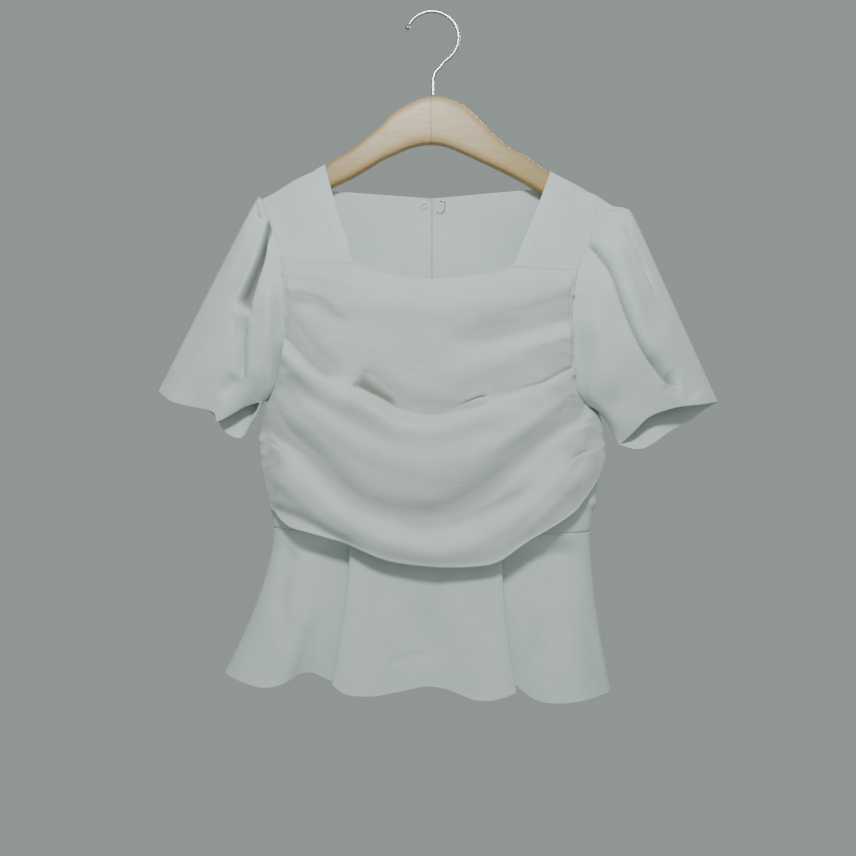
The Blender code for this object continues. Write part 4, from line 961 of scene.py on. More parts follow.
# Short sleeves: pleated into a slightly puffed head, hanging half flat with the cuff open
sleeveForm = {
    "left": {
        "outer": ((-0.1712, 0.0, -0.1865), (-0.177, 0.0, -0.1885), (-0.205, 0.0, -0.242),
                  (-0.24, 0.0, -0.311), (-0.274, 0.0, -0.379)),
        "underarm": ((-0.164, -0.001, -0.388), (-0.1655, -0.011, -0.3885), (-0.1668, -0.02, -0.3892)),
        "cuffFront": ((-0.274, 0.0, -0.379), (-0.256, -0.015, -0.3892), (-0.232, -0.022, -0.395),
                      (-0.2155, -0.024, -0.3985), (-0.21, -0.0258, -0.403), (-0.208, -0.027, -0.409),
                      (-0.193, -0.0265, -0.4012), (-0.1808, -0.024, -0.3938), (-0.1668, -0.02, -0.3892)),
        "cuffBack": ((-0.274, 0.0, -0.379), (-0.258, 0.006, -0.3855), (-0.235, 0.002, -0.3915),
                     (-0.216, -0.008, -0.403), (-0.206, -0.016, -0.417), (-0.196, -0.02, -0.4238),
                     (-0.1856, -0.0215, -0.4246), (-0.1779, -0.021, -0.4111), (-0.1727, -0.0205, -0.403),
                     (-0.1668, -0.02, -0.3892)),
        "laps": (
            (((-0.157, -0.207), (-0.1585, -0.244), (-0.163, -0.269), (-0.169, -0.2905),
              (-0.175, -0.308)),
             1, (-1.0, 0.0), 0.004, 0.0016, 0.02, (0.0042, 0.019), 0.0024, 6, (0.03, 0.16)),
            (((-0.18, -0.32), (-0.1802, -0.344), (-0.1806, -0.37)),
             1, (-1.0, 0.0), 0.0012, 0.0014, 0.003, (0.008, 0.008), 0.0018, 2, (0.4, 0.25)),
            (((-0.175, -0.189), (-0.171, -0.198), (-0.168, -0.208)),
             1, (-1.0, 0.0), 0.0018, 0.0022, 0.005, (0.0034, 0.003), 0.002, 3, (0.15, 0.2)),
            (((-0.184, -0.196), (-0.178, -0.195), (-0.171, -0.193)),
             -1, (0.0, 1.0), 0.0012, 0.0014, 0.0022, (0.0024, 0.0024), 0.0018, 3, (0.3, 0.3)),
        ),
        "folds": (
            (((-0.166, -0.21), (-0.176, -0.262), (-0.192, -0.302)), 0.007, 0.007, 0.0022, 0.2, 0.5),
            (((-0.1812, -0.302), (-0.1812, -0.34), (-0.182, -0.361), (-0.189, -0.3726),
              (-0.203, -0.3845)), 0.004, 0.01, -0.0066, 0.25, 0.25),
            (((-0.185, -0.364), (-0.196, -0.377), (-0.207, -0.387)), 0.0075, 0.007, -0.004, 0.4, 0.4),
            (((-0.19, -0.303), (-0.1935, -0.352), (-0.2, -0.38)), 0.0016, 0.0016, -0.0012, 0.2, 0.3),
            (((-0.178, -0.2), (-0.196, -0.25), (-0.214, -0.33)), 0.015, 0.015, 0.003, 0.3, 0.5),
            (((-0.152, -0.262), (-0.158, -0.315), (-0.168, -0.38)), 0.006, 0.008, 0.0026, 0.2, 0.2),
        ),
    },
    "right": {
        "outer": ((0.1672, 0.0, -0.1842), (0.182, 0.0, -0.1935), (0.194, 0.0, -0.196),
                  (0.204, 0.0, -0.208), (0.242, 0.0, -0.292), (0.286, 0.0, -0.389)),
        "underarm": ((0.1618, -0.0025, -0.3968), (0.1712, -0.015, -0.4065), (0.1828, -0.0215, -0.4319)),
        "cuffFront": ((0.286, 0.0, -0.389), (0.2627, -0.016, -0.3922), (0.2366, -0.024, -0.3954),
                      (0.2111, -0.027, -0.404), (0.1959, -0.0265, -0.4184), (0.1828, -0.0215, -0.4319)),
        "cuffBack": ((0.286, 0.0, -0.389), (0.2747, 0.006, -0.3967), (0.2595, 0.003, -0.4073),
                     (0.2411, -0.008, -0.4157), (0.2279, -0.016, -0.4231), (0.2129, -0.0215, -0.4326),
                     (0.1996, -0.0225, -0.4363), (0.1828, -0.0215, -0.4319)),
        "laps": (
            (((0.147, -0.229), (0.156, -0.242), (0.1632, -0.2545), (0.169, -0.267), (0.178, -0.2964),
              (0.1942, -0.3349), (0.2125, -0.36), (0.2255, -0.3731), (0.245, -0.3765)),
             -1, (1.0, 0.0), 0.0038, 0.002, 0.0125, (0.0075, 0.0125), 0.003, 2.4, (0.02, 0.1)),
            (((0.183, -0.213), (0.1965, -0.241), (0.209, -0.266), (0.223, -0.3)),
             -1, (1.0, 0.0), 0.002, 0.0012, 0.0062, (0.0045, 0.005), 0.0022, 3, (0.15, 0.6)),
            (((0.17, -0.2), (0.183, -0.199), (0.1935, -0.204), (0.1975, -0.22)),
             1, (0.3, 0.3), 0.0014, 0.0022, 0.0048, (0.0034, 0.0034), 0.002, 3, (0.3, 0.4)),
        ),
        "folds": (
            (((0.174, -0.222), (0.186, -0.254), (0.201, -0.305), (0.222, -0.346)),
             0.008, 0.008, 0.0022, 0.1, 0.4),
            (((0.148, -0.285), (0.16, -0.335), (0.176, -0.395)), 0.01, 0.01, 0.0026, 0.3, 0.2),
            (((0.225, -0.33), (0.244, -0.362), (0.262, -0.384)), 0.012, 0.012, -0.0022, 0.4, 0.1),
            (((0.206, -0.346), (0.222, -0.363), (0.24, -0.3745)), 0.01, 0.005, -0.0026, 0.3, 0.3),
            (((0.22, -0.371), (0.233, -0.3775), (0.246, -0.38)), 0.007, 0.005, -0.0036, 0.3, 0.4),
        ),
    },
    "rows": 150,
    "half": 112,
    "puff": {"Front": 0.013, "Back": 0.009},
    "gathers": {"pitch": 0.011, "height": 0.0014, "reach": 0.016, "tilt": 0.12},
    "headHigh": 0.24,  # gathers crowd in this share of the armhole below the shoulder
    "dents": (0.065, 0.0016),
    "hem": 0.014,
    "closest": 0.002,  # of each layer to the middle plane
    "sunk": 0.012,
    "behind": 0.5,  # how much the pleats and folds stand out behind
    "tuck": 0.00015,  # how far its seam goes in under the body
    "flat": {"left": (0.33, 0.225), "right": (0.34, 0.24)},
    "area": {"left": 0.042, "right": 0.052},
}


def sleeveHalf(side, face, across, down):
    form, cut, both = sleeveForm[side], cuts[side], sleeveForm
    front = face == "Front"
    sign = -1.0 if front else 1.0
    line = list(cut["armholeYoke"]) + list(cut["armholeBase"][1:]) if front else cut["armholeBack"]
    top = onBody(follow(line, across), face.lower(), -both["tuck"])
    top[:, 0] -= cut["sign"] * both["tuck"]
    top[0], top[-1] = form["outer"][0], form["underarm"][0]
    grid = patch(top, follow(form["cuff" + face], across), follow(form["outer"], down),
                 follow(form["underarm"], down), across, down)
    x, z = grid[..., 0], grid[..., 2]
    run, place = np.asarray(down)[:, None], np.asarray(across)[None, :]
    toEdge = np.minimum(place, 1 - place)
    swell = eased(run * 5) * (1 - 0.75 * run ** 2) * np.sin(math.pi * np.clip(place, 0, 1)) ** 0.65
    inner = eased(run * 22) * eased(toEdge * 12)  # folds rest at the seam and at both edges
    share = 1.0 if front else both["behind"]
    folds = share * foldRelief(x, z, form["folds"])
    shiftX, shiftZ, lapped, hollow = laps(x, z, form["laps"] if front else form["laps"][:1])
    grid[..., 0] += share * shiftX * inner
    grid[..., 2] += share * shiftZ * inner
    folds = (folds + share * lapped) * inner
    gathers = puckers(x, z, line, both["gathers"], 71 if front else 72)
    gathers *= eased((both["headHigh"] - place) / 0.12) + 0.25
    soft = ripples(x, z, both["dents"][0], 75 if side == "left" else 76, both["dents"][1])
    relief = folds + (gathers + soft) * eased(run * 16) * eased(toEdge * 14)
    grid[..., 1] += sign * both["puff"][face] * swell
    depth = np.maximum(np.abs(grid[..., 1]) - both["closest"], 0.0)
    grid[..., 1] += sign * np.maximum(relief, -depth)  # the two layers never meet
    # painted shade where the sleeve sinks between its folds and gathers, and in its pleats
    return grid, eased(-(folds + gathers) / both["sunk"]), share * hollow * inner


def makeSleeve(side):
    form = sleeveForm
    across, down = crowded(form["half"], 1.25, 1.25), crowded(form["rows"], 1.4, 1.0)
    halves = zip(sleeveHalf(side, "Front", across, down), sleeveHalf(side, "Back", across, down))
    grid, dip, hollow = (np.concatenate([front, back[:, -2:0:-1]], axis=1) for front, back in halves)
    run = np.linalg.norm(np.diff(grid, axis=0), axis=2)
    toCuff = np.vstack([np.cumsum(run[::-1], axis=0)[::-1], np.zeros((1, grid.shape[1]))])
    band = 0.8 * (1 - eased((toCuff - form["hem"]) / 0.002 + 0.5))
    piece = clothMesh("sleeve" + side.title(), grid, linen, wall["cloth"], ring=True, flip=side == "right",
                      marks={"dip": dip, "band": band, "hollow": hollow})
    finish(piece, ["sleeve_" + side])


# Flared peplum: a box pleat in front, soft flutes behind
# place along the waist, layer in the pleat (0 outermost), place, depth and height at the hem
peplumForm = {
    "front": (
        (-0.157, 2.0, -0.206, -0.0004, -0.657), (-0.156, 2.0, -0.2045, -0.009, -0.658),
        (-0.151, 2.0, -0.199, -0.016, -0.659), (-0.142, 2.0, -0.19, -0.024, -0.6605),
        (-0.131, 2.0, -0.177, -0.032, -0.663), (-0.12, 2.0, -0.162, -0.036, -0.665),
        (-0.11, 2.0, -0.144, -0.034, -0.662), (-0.1, 2.0, -0.13, -0.025, -0.655),
        (-0.092, 2.0, -0.118, -0.021, -0.654), (-0.085, 2.0, -0.109, -0.023, -0.657),
        (-0.077, 2.0, -0.096, -0.0275, -0.661), (-0.07, 2.0, -0.086, -0.03, -0.661),
        (-0.064, 2.0, -0.078, -0.0318, -0.66), (-0.0622, 1.5, -0.0762, -0.0333, -0.66),
        (-0.064, 1.0, -0.078, -0.035, -0.66), (-0.071, 1.0, -0.086, -0.0356, -0.66),
        (-0.077, 1.0, -0.0935, -0.0362, -0.66), (-0.0788, 0.5, -0.0955, -0.0388, -0.6605),
        (-0.077, 0.0, -0.094, -0.0415, -0.6615), (-0.069, 0.0, -0.084, -0.045, -0.668),
        (-0.057, 0.0, -0.069, -0.047, -0.67), (-0.043, 0.0, -0.052, -0.046, -0.67),
        (-0.026, 0.0, -0.031, -0.042, -0.667), (-0.008, 0.0, -0.008, -0.0385, -0.663),
        (0.006, 0.0, 0.008, -0.039, -0.664), (0.02, 0.0, 0.024, -0.043, -0.668),
        (0.034, 0.0, 0.039, -0.047, -0.673), (0.047, 0.0, 0.054, -0.048, -0.674),
        (0.057, 0.0, 0.067, -0.046, -0.672), (0.064, 0.0, 0.078, -0.042, -0.669),
        (0.0658, 0.5, 0.08, -0.039, -0.668), (0.064, 1.0, 0.078, -0.0362, -0.667),
        (0.057, 1.0, 0.071, -0.0356, -0.665), (0.052, 1.0, 0.065, -0.035, -0.664),
        (0.0502, 1.5, 0.063, -0.0332, -0.663), (0.052, 2.0, 0.065, -0.0315, -0.662),
        (0.057, 2.0, 0.071, -0.03, -0.661), (0.064, 2.0, 0.078, -0.0288, -0.662),
        (0.074, 2.0, 0.088, -0.03, -0.67), (0.084, 2.0, 0.1, -0.034, -0.677),
        (0.095, 2.0, 0.114, -0.038, -0.679), (0.108, 2.0, 0.129, -0.038, -0.679),
        (0.122, 2.0, 0.145, -0.034, -0.678), (0.135, 2.0, 0.158, -0.025, -0.6775),
        (0.146, 2.0, 0.169, -0.015, -0.677), (0.154, 2.0, 0.1755, -0.008, -0.677),
        (0.157, 2.0, 0.178, -0.0004, -0.677),
    ),
    "back": (
        (-0.157, 0.0, -0.206, 0.0004, -0.657), (-0.156, 0.0, -0.2045, 0.009, -0.658),
        (-0.15, 0.0, -0.198, 0.017, -0.659), (-0.138, 0.0, -0.183, 0.026, -0.661),
        (-0.118, 0.0, -0.156, 0.036, -0.664), (-0.095, 0.0, -0.122, 0.034, -0.662),
        (-0.07, 0.0, -0.088, 0.026, -0.659), (-0.045, 0.0, -0.056, 0.033, -0.662),
        (-0.022, 0.0, -0.028, 0.04, -0.664), (0.0, 0.0, 0.0, 0.036, -0.664),
        (0.022, 0.0, 0.026, 0.028, -0.664), (0.045, 0.0, 0.052, 0.033, -0.667),
        (0.07, 0.0, 0.082, 0.04, -0.671), (0.095, 0.0, 0.11, 0.036, -0.672),
        (0.118, 0.0, 0.138, 0.028, -0.673), (0.138, 0.0, 0.159, 0.024, -0.675),
        (0.15, 0.0, 0.17, 0.016, -0.676), (0.156, 0.0, 0.1765, 0.008, -0.677),
        (0.157, 0.0, 0.178, 0.0004, -0.677),
    ),
    "rows": 72,
    "between": {"front": 6, "back": 8},
    "length": 0.15,
    "pleatsTo": 0.08,
    "seamAt": 0.15,
    "ease": 0.03,
    "layer": 0.048,  # each pleat layer lies this share of the depth further in
    "bow": 0.005,  # how far each pleat layer falls back below the waist
    "flare": 1.6,  # above 1 the flare opens late, near the hem
    "swell": 1.2,
    "hem": 0.006,
    "sunk": 0.003,
    "dents": (0.07, 0.001),
    "creases": (
        (((-0.132, -0.535), (-0.143, -0.562), (-0.146, -0.62)), 0.007, 0.01, -0.003, 0.1, 0.5),
        (((-0.122, -0.535), (-0.13, -0.57), (-0.131, -0.625)), 0.01, 0.01, 0.0022, 0.1, 0.5),
        (((0.149, -0.54), (0.15, -0.575)), 0.004, 0.004, -0.0018, 0.1, 0.4),
        (((-0.048, -0.644), (-0.02, -0.634), (0.004, -0.634)), 0.004, 0.003, -0.0008, 0.3, 0.4),
        (((-0.01, -0.57), (0.002, -0.61), (-0.006, -0.65)), 0.014, 0.01, -0.0014, 0.4, 0.3),
        (((0.036, -0.59), (0.04, -0.63)), 0.008, 0.01, 0.0012, 0.4, 0.4),
        (((0.092, -0.545), (0.098, -0.6), (0.106, -0.66)), 0.01, 0.01, -0.0014, 0.3, 0.4),
    ),
    "flat": {"front": (0.52, 0.16), "back": (0.385, 0.16)},
    "area": {"front": 0.076, "back": 0.056},
}


def makePeplum(face):
    form = peplumForm
    fine = smoothLine(form[face], form["between"][face])
    xTop, layer, xHem, yHem, zHem = (fine[:, k][None, :] for k in range(5))
    t = crowded(form["rows"], 1.2, 1.3)[:, None]
    sign = -1.0 if face == "front" else 1.0
    run = (xTop - waist["left"][0]) / (waist["right"][0] - waist["left"][0])
    zTop = waist["left"][1] + (waist["right"][1] - waist["left"][1]) * run - wall["waistGap"]
    depth = bodyDepth(xTop, zTop, face) - wall["cloth"] / 2
    beside = eased((np.abs(xTop) - form["pleatsTo"]) / form["ease"])
    recess = depth * form["layer"] * layer * (1 - beside * (1 - eased(t * 6)))
    inside = eased((form["seamAt"] - np.abs(xTop)) / form["ease"])
    recess = recess + form["bow"] * layer * eased(t / 0.15) * (1 - t) * inside
    yTop = sign * np.maximum(depth - recess, 2 * wall["gap"])
    x = xTop + (xHem - xTop) * t ** form["flare"]
    z = zTop + (zHem - zTop) * t
    edge = eased((form["seamAt"] - np.abs(xTop)) / 0.02) * eased(t * 9)
    if face == "front":
        soft = foldRelief(x, z, form["creases"]) + ripples(x, z, form["dents"][0], 81, form["dents"][1])
        soft *= np.where(np.mod(layer, 1.0) < 0.02, 1.0, 0.0) * (np.abs(layer - 1.0) > 0.5)
    else:
        soft = ripples(x, z, form["dents"][0], 82, 1.6 * form["dents"][1])
    y = yTop + (yHem - yTop) * t ** form["swell"] + sign * soft * edge
    grid = np.stack([x, y, z], axis=-1)
    band = 0.9 * (1 - eased(((1 - t) * form["length"] - form["hem"]) / 0.002 + 0.5)) * np.ones_like(x)
    # painted shade where the peplum's creases sink
    piece = clothMesh("peplum" + face.title(), grid, linen, wall["thin"], flip=face == "back", centred=True,
                      marks={"dip": eased(-soft * edge / form["sunk"]), "band": band})
    finish(piece, ["peplum_" + face])


for side, seed in (("left", 11), ("right", 12)):
    makeYoke(side, seed)
    makeBack(side, seed + 4)
    makeFacing(side, seed + 8)
    makeSleeve(side)
makeFrontBase()
makeFrontDrape()
for face in ("front", "back"):
    makePeplum(face)
print("cloth made")


# Solid through rings of points, with a tip at each end, or closed on itself where there are no tips
def ringMesh(name, rings, material, tips=()):
    count = len(rings[0])
    shape = bmesh.new()
    loops = [[shape.verts.new(p) for p in ring] for ring in rings]
    for first, second in zip(loops, loops[1:] if tips else loops[1:] + loops[:1]):
        for k in range(count):
            shape.faces.new((first[k], first[(k + 1) % count], second[(k + 1) % count], second[k]))
    for ring, spot in zip((loops[0], loops[-1]), tips):
        tip = shape.verts.new(spot)
        for k in range(count):
            shape.faces.new((ring[k], ring[(k + 1) % count], tip))
    bmesh.ops.recalc_face_normals(shape, faces=shape.faces)
    mesh = bpy.data.meshes.new(name)
    shape.to_mesh(mesh)
    shape.free()
    return setOut(name, mesh, material)


def tube(name, path, radii, material, sides=20):  # round wire with closed, rounded ends
    path = np.array(path, float)
    radii = np.broadcast_to(np.asarray(radii, float), len(path))
    tangents = np.gradient(path, axis=0)
    tangents /= np.linalg.norm(tangents, axis=1, keepdims=True)
    across = np.cross(tangents[0], (0.0, 1.0, 0.0) if abs(tangents[0][1]) < 0.9 else (1.0, 0.0, 0.0))
    rings = []
    angles = np.arange(sides) * 2 * math.pi / sides
    for spot, tangent, radius in zip(path, tangents, radii):
        across = across - tangent * across.dot(tangent)
        across /= np.linalg.norm(across)
        up = np.cross(tangent, across)
        rings.append(spot + radius * (np.outer(np.cos(angles), across) + np.outer(np.sin(angles), up)))
    ends = (path[0] - tangents[0] * radii[0] * 0.3, path[-1] + tangents[-1] * radii[-1] * 0.3)
    return ringMesh(name, rings, material, ends)


# Wooden hanger: a rounded bar that thins towards its ends, and a bright wire hook with a ball tip
barForm = {
    # place, and the top and low edge of the wood there
    "sections": (
        (-0.1655, -0.1895, -0.196), (-0.16, -0.1855, -0.2005), (-0.13, -0.168, -0.1895),
        (-0.107, -0.1562, -0.178), (-0.098, -0.148, -0.1735), (-0.08, -0.138, -0.165),
        (-0.063, -0.124, -0.155), (-0.049, -0.112, -0.1465), (-0.039, -0.1015, -0.142),
        (-0.025, -0.093, -0.136), (-0.012, -0.087, -0.1324), (0.001, -0.0845, -0.1312),
        (0.013, -0.086, -0.1332), (0.025, -0.0905, -0.1375), (0.037, -0.098, -0.143),
        (0.049, -0.11, -0.1485), (0.063, -0.124, -0.155), (0.08, -0.138, -0.1635),
        (0.097, -0.1465, -0.173), (0.118, -0.1634, -0.1855), (0.138, -0.1727, -0.195),
        (0.156, -0.1824, -0.2015), (0.162, -0.1865, -0.1975),
    ),
    "thick": 0.014,
    "stations": 260,
    "around": 44,
    "square": 0.36,  # below 1 the section is squarer than an ellipse
    "tip": 0.0012,  # how far each end bulges out
}
hookForm = {"radius": 0.0265, "wire": 0.0032, "tipAngle": 163, "endAngle": -62, "steps": 110,
            "stemX": 0.001, "ball": 0.0027,
            "bend": ((0.0085, -0.0535), (0.004, -0.0585), (0.0016, -0.064), (0.001, -0.07)),
            "woodTop": -0.0842}


def makeBar():
    form = barForm
    upper = follow([(x, top) for x, top, low in form["sections"]], even(form["stations"]))
    lower = follow([(x, low) for x, top, low in form["sections"]], even(form["stations"]))
    angle = np.arange(form["around"]) * 2 * math.pi / form["around"]
    lift = np.sign(np.sin(angle)) * np.abs(np.sin(angle)) ** form["square"]
    deep = np.sign(np.cos(angle)) * np.abs(np.cos(angle)) ** form["square"]
    centre, half = (upper + lower) / 2, (upper - lower) / 2
    x = centre[:, :1] + half[:, :1] * lift[None, :]
    z = centre[:, 1:] + half[:, 1:] * lift[None, :]
    ends = np.minimum(even(form["stations"]), even(form["stations"])[::-1])
    y = form["thick"] / 2 * np.sqrt(eased(ends / 0.012) * 0.75 + 0.25)[:, None] * deep[None, :]
    rings = np.stack([x, y, z], axis=-1)
    tips = [rings[end].mean(axis=0) + (side * form["tip"], 0.0, 0.0) for end, side in ((0, -1), (-1, 1))]
    finish(ringMesh("hangerBar", rings, maple, tips), ["hanger_bar"])


def makeHook():
    form = hookForm
    centreZ = -form["radius"] + form["wire"] / 2
    turn = np.radians(np.linspace(form["tipAngle"], form["endAngle"], form["steps"]))
    loop = np.stack([np.cos(turn), 0 * turn, np.sin(turn)], axis=1) * form["radius"] + (0.0, 0.0, centreZ)
    low = smoothLine([loop[-1], *((x, 0.0, z) for x, z in form["bend"]),
                      (form["stemX"], 0.0, form["woodTop"])], 8)
    path = np.vstack([loop, low[1:]])
    run = lengthAlong(path)
    ball = np.sqrt(np.maximum(form["ball"] ** 2 - (run - form["ball"]) ** 2, 0.0))
    half = form["wire"] / 2
    radii = np.where(run < 2 * form["ball"], np.maximum(ball, half * eased(run / 0.002)), half)
    finish(tube("hangerHook", path, np.maximum(radii, 0.0004), steel, 24), ["hanger_hook"])


makeBar()
makeHook()
print("hanger made")


# Concealed zip inside the centre-back seam, its slider and pull outside, hook and eye above it
zipForm = {
    "top": -0.189,
    "end": -0.46,
    "tapeWidth": 0.022,
    "rows": 90,
    "columns": 14,
    "dents": (0.05, 0.00015),
    "coil": {"Pitch": 0.00165, "Length": 0.0036, "Thickness": 0.00028},
    "stitches": {"Pitch": 0.0026, "Length": 0.0019, "Thickness": 0.00032},
    "stitchFromEdge": 0.0035,
    "sliderZ": -0.196,
    "slider": (0.006, 0.0034, 0.009),
    "hingeOff": 0.0012,
    "plateShare": 0.62,
    "well": (0.0009, 0.0019),
    "bridge": (0.0036, 0.0026, 0.0004),  # height of its feet and its knees, and how far it arches
    "bridgeWire": 0.0009,
    "pullLength": 0.02,
    "pullWidth": 0.0058,
    "pullNeck": 0.52,  # share of its width where it starts
    "pullThick": 0.0012,
    "eye": 0.00085,
    "flat": (0.022, 0.275),
}


def repeatTree(name, sides, turned):  # lays small rods along a curve at an even pitch
    tree = bpy.data.node_groups.new(name, "GeometryNodeTree")
    face = tree.interface
    face.new_socket("Geometry", in_out="INPUT", socket_type="NodeSocketGeometry")
    face.new_socket("Geometry", in_out="OUTPUT", socket_type="NodeSocketGeometry")
    kinds = {"Pitch": "Float", "Length": "Float", "Thickness": "Float", "Material": "Material"}
    sockets = {label: face.new_socket(label, in_out="INPUT", socket_type="NodeSocket" + kind).identifier
               for label, kind in kinds.items()}

    def add(kind, settings=None, links=None):
        made = tree.nodes.new(kind)
        for key, value in (settings or {}).items():
            setattr(made, key, value)
        for key, value in (links or {}).items():
            if isinstance(value, bpy.types.NodeSocket):
                tree.links.new(value, made.inputs[key])
            else:
                made.inputs[key].default_value = value
        return made

    given = add("NodeGroupInput")
    points = add("GeometryNodeResampleCurve", {"mode": "LENGTH"},
                 {"Curve": given.outputs["Geometry"], "Length": given.outputs["Pitch"]})
    tangent = add("GeometryNodeInputTangent")
    turn = add("FunctionNodeAlignRotationToVector", {"axis": "Z"}, {"Vector": tangent.outputs[0]})
    rod = add("GeometryNodeMeshCylinder", {"fill_type": "TRIANGLE_FAN"},
              {"Vertices": sides, "Radius": given.outputs["Thickness"], "Depth": given.outputs["Length"]})
    small = add("GeometryNodeTransform", {}, {"Geometry": rod.outputs[0], "Rotation": turned})
    placed = add("GeometryNodeInstanceOnPoints", {},
                 {"Points": points.outputs[0], "Instance": small.outputs[0], "Rotation": turn.outputs[0]})
    real = add("GeometryNodeRealizeInstances", {}, {"Geometry": placed.outputs[0]})
    coloured = add("GeometryNodeSetMaterial", {},
                   {"Geometry": real.outputs[0], "Material": given.outputs["Material"]})
    add("NodeGroupOutput", {}, {"Geometry": coloured.outputs[0]})
    return tree, sockets


rodTrees = {"stitches": repeatTree("stitch row", 6, (0.0, 0.0, 0.0)),
            "coil": repeatTree("zip coil", 8, (math.radians(90), 0.0, math.radians(90)))}


def repeated(name, lines, kind, material):  # lays a tree's rods along lines and keeps a plain mesh
    curve = bpy.data.curves.new(name + "Path", "CURVE")
    curve.dimensions = "3D"
    for line in lines:
        spline = curve.splines.new("POLY")
        spline.points.add(len(line) - 1)
        spline.points.foreach_set("co", np.hstack([line, np.ones((len(line), 1))]).reshape(-1))
    guide = bpy.data.objects.new(name + "Path", curve)
    bpy.context.scene.collection.objects.link(guide)
    group, sockets = rodTrees[kind]
    laid = guide.modifiers.new("Repeat", "NODES")
    laid.node_group = group
    for key, value in zipForm[kind].items():
        laid[sockets[key]] = value
    laid[sockets["Material"]] = material
    ready = guide.evaluated_get(bpy.context.evaluated_depsgraph_get())
    mesh = bpy.data.meshes.new_from_object(ready)
    mesh.name = name
    if not mesh.materials:
        mesh.materials.append(material)
    bpy.data.objects.remove(guide, do_unlink=True)
    piece = bpy.data.objects.new(name, mesh)
    bpy.context.scene.collection.objects.link(piece)
    return piece


def makeZip():
    form = zipForm
    inward = -(wall["cloth"] + 3 * wall["gap"])
    across, down = even(form["columns"]), even(form["rows"])
    x, z = np.meshgrid((across - 0.5) * form["tapeWidth"], form["top"] + (form["end"] - form["top"]) * down)
    wave = ripples(x, z, form["dents"][0], 91, form["dents"][1])
    tape = clothMesh("zipTape", onBody(np.stack([x, z], axis=-1), "back", inward + wave), zipTapeWeave,
                     wall["tape"], flip=True)
    finish(tape, ["zip_tape"])
    rows = np.linspace(form["top"], form["end"], 160)
    inner = inward - wall["tape"]

    def line(at, off):
        return onBody(np.stack([np.full_like(rows, at), rows], axis=-1), "back", off)

    coil = repeated("zipCoil", [line(0.0, inner - form["coil"]["Thickness"])], "coil", thread)
    finish(coil, [])
    edge = form["tapeWidth"] / 2 - form["stitchFromEdge"]
    sewn = repeated("zipStitches", [line(-edge, inner), line(edge, inner)], "stitches", thread)
    finish(sewn, [])


def plate(name, outline, hole, thick, centre, material):  # flat metal with one hole, edges rounded
    rings = [[(centre[0] + x, centre[1] + side * thick / 2, centre[2] + z) for x, z in edge]
             for edge, side in ((outline, -1), (outline, 1), (hole, 1), (hole, -1))]
    piece = ringMesh(name, rings, material)
    soft = piece.modifiers.new("Rounded edges", "BEVEL")
    soft.width = thick * 0.28
    soft.segments = 3
    soft.angle_limit = math.radians(50)
    return piece


def makeSlider():
    form = zipForm
    width, deep, tall = form["slider"]
    z = form["sliderZ"]
    inside = float(bodyDepth(0.0, z - tall / 2, "back")) + wall["gap"]
    hinge = inside + deep + form["hingeOff"]
    turn = np.arange(44) * 2 * math.pi / 44
    shield = [(width / 2 * math.copysign(abs(math.cos(a)) ** 0.7, math.cos(a)) * (1 + 0.1 * math.sin(a)),
               tall / 2 * math.copysign(abs(math.sin(a)) ** 0.8, math.sin(a))) for a in turn]
    well = [(form["well"][0] * math.cos(a), form["well"][1] * math.sin(a)) for a in turn]
    thick = deep * form["plateShare"]
    body = plate("zipSlider", shield, well, thick, (0.0, inside + thick / 2, z), steel)
    finish(body, ["zip_slider"])
    foot, knee, lift = form["bridge"]
    middle = inside + deep / 2
    side = [(middle, foot), (hinge - lift, knee), (hinge + lift, 0.0), (hinge - lift, -knee), (middle, -foot)]
    arch = smoothLine([(0.0, y, z + step) for y, step in side], 8)
    finish(tube("sliderBridge", arch, form["bridgeWire"] / 2, steel, 14), [])
    half, neck = form["pullWidth"] / 2, form["pullNeck"]
    outline = []
    for a in turn:
        if math.sin(a) > 0:
            outline.append((half * neck * math.cos(a), 0.0005 + 0.0007 * math.sin(a)))
        else:
            drop = -math.sin(a)
            wide = half * (neck + (1 - neck) * drop ** 0.6)
            outline.append((wide * math.cos(a), -form["pullLength"] * drop ** 1.25))
    hole = [(form["eye"] * math.cos(a), form["eye"] * 0.8 * math.sin(a) - 0.0006) for a in turn]
    pull = plate("zipPull", outline, hole, form["pullThick"], (0.0, hinge, z), steel)
    finish(pull, ["zip_pull"], "pull_tab")


fasteners = {
    "wire": 0.001,
    "hook": ((0.0085, -0.1836), (0.012, -0.1832), (0.0138, -0.185), (0.0136, -0.19), (0.0115, -0.1945),
             (0.008, -0.1958), (0.0052, -0.194)),
    "eye": ((-0.0125, -0.19), (-0.0105, -0.1872), (-0.007, -0.186), (-0.005, -0.188),
            (-0.007, -0.19), (-0.01, -0.1912)),
}


def makeFasteners():
    inward = -(wall["cloth"] + wall["thin"] + wall["tape"] + 5 * wall["gap"] + fasteners["wire"] / 2)
    for kind, look, slot in (("hook", steel, "steel"), ("eye", thread, "tape")):
        path = onBody(follow(fasteners[kind], even(60)), "back", inward)
        wire = tube("neck" + kind.title(), path, fasteners["wire"] / 2, look, 14)
        finish(wire, ["neck_" + kind])


makeZip()
makeSlider()
makeFasteners()
print("zip and fastening made")


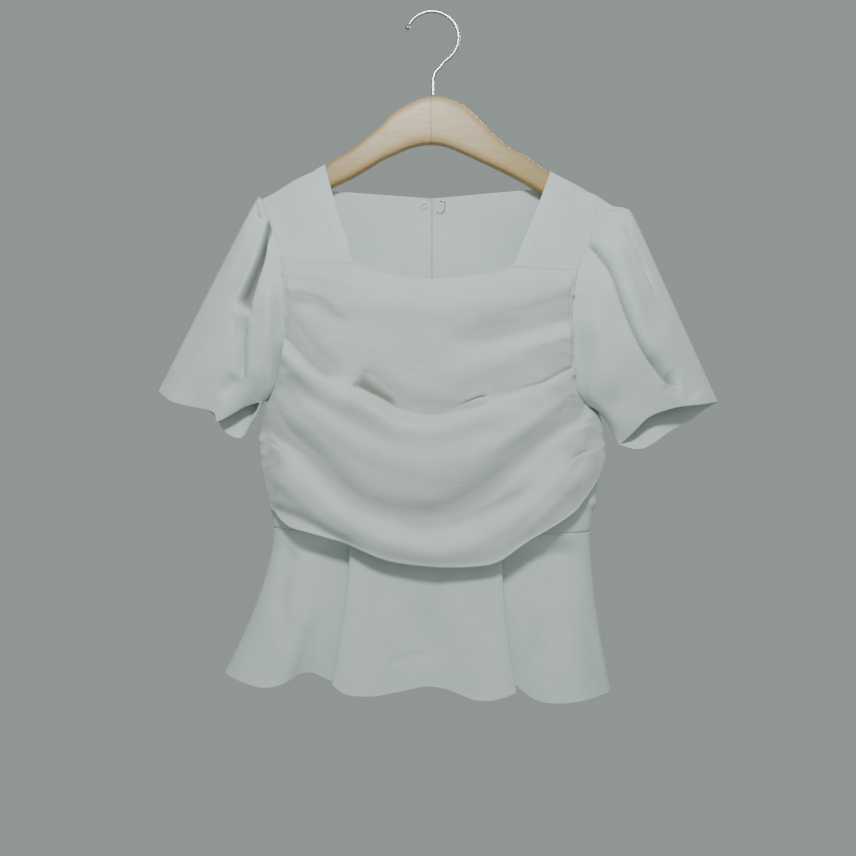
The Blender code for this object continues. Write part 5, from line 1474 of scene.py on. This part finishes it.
# Camera level with the middle of the blouse, soft light from high in front, pale floor far below
studio = {
    "camera": (-0.004, -0.918, -0.415),
    "view": 50.0,
    "floor": -2.9,
    "floorHalf": 2.6,
    "floorColour": (0.62, 0.63, 0.61),
    "key": {"place": (-0.04, -0.95, 0.3), "size": 0.2, "power": 10.2, "colour": (0.91, 1.0, 0.985)},
    "fill": {"place": (1.0, -1.4, -0.1), "size": 1.6, "power": 2.0, "colour": (0.92, 0.99, 1.0)},
    "rear": {"place": (0.35, 1.2, 0.6), "size": 0.5, "power": 14.0, "colour": (0.98, 1.0, 0.99)},
    "world": (0.435, 0.492, 0.468),
    "worldStrength": 0.68,
    "aim": (0.0, 0.0, -0.38),
}


def makeStudio():
    scene = bpy.context.scene
    lens = bpy.data.cameras.new("camera")
    lens.sensor_fit = "HORIZONTAL"
    lens.angle = math.radians(studio["view"])
    camera = bpy.data.objects.new("camera", lens)
    camera.location = studio["camera"]
    camera.rotation_euler = (math.radians(90), 0.0, 0.0)
    scene.collection.objects.link(camera)
    scene.camera = camera
    for name in ("key", "fill", "rear"):
        look = studio[name]
        lamp = bpy.data.lights.new(name, "AREA")
        lamp.shape = "DISK"
        lamp.size = look["size"]
        lamp.energy = look["power"]
        lamp.color = look["colour"]
        holder = bpy.data.objects.new(name, lamp)
        holder.location = look["place"]
        away = Vector(look["place"]) - Vector(studio["aim"])
        holder.rotation_euler = away.to_track_quat("Z", "Y").to_euler()
        scene.collection.objects.link(holder)
    world = bpy.data.worlds.new("studio")
    scene.world = world
    world.use_nodes = True
    sky = world.node_tree.nodes["Background"]
    sky.inputs["Color"].default_value = shade(studio["world"])
    sky.inputs["Strength"].default_value = studio["worldStrength"]
    mesh = bpy.data.meshes.new("floor")
    far = studio["floorHalf"]
    corners = [(x * far, y * far, studio["floor"]) for x, y in ((-1, -1), (1, -1), (1, 1), (-1, 1))]
    mesh.from_pydata(corners, [], [(0, 1, 2, 3)])
    plain = Finish("pale floor")
    plain.fix(Base_Color=shade(studio["floorColour"]), Roughness=0.9)
    mesh.materials.append(plain.material)
    floor = bpy.data.objects.new("floor", mesh)
    scene.collection.objects.link(floor)


makeStudio()
print("studio made")
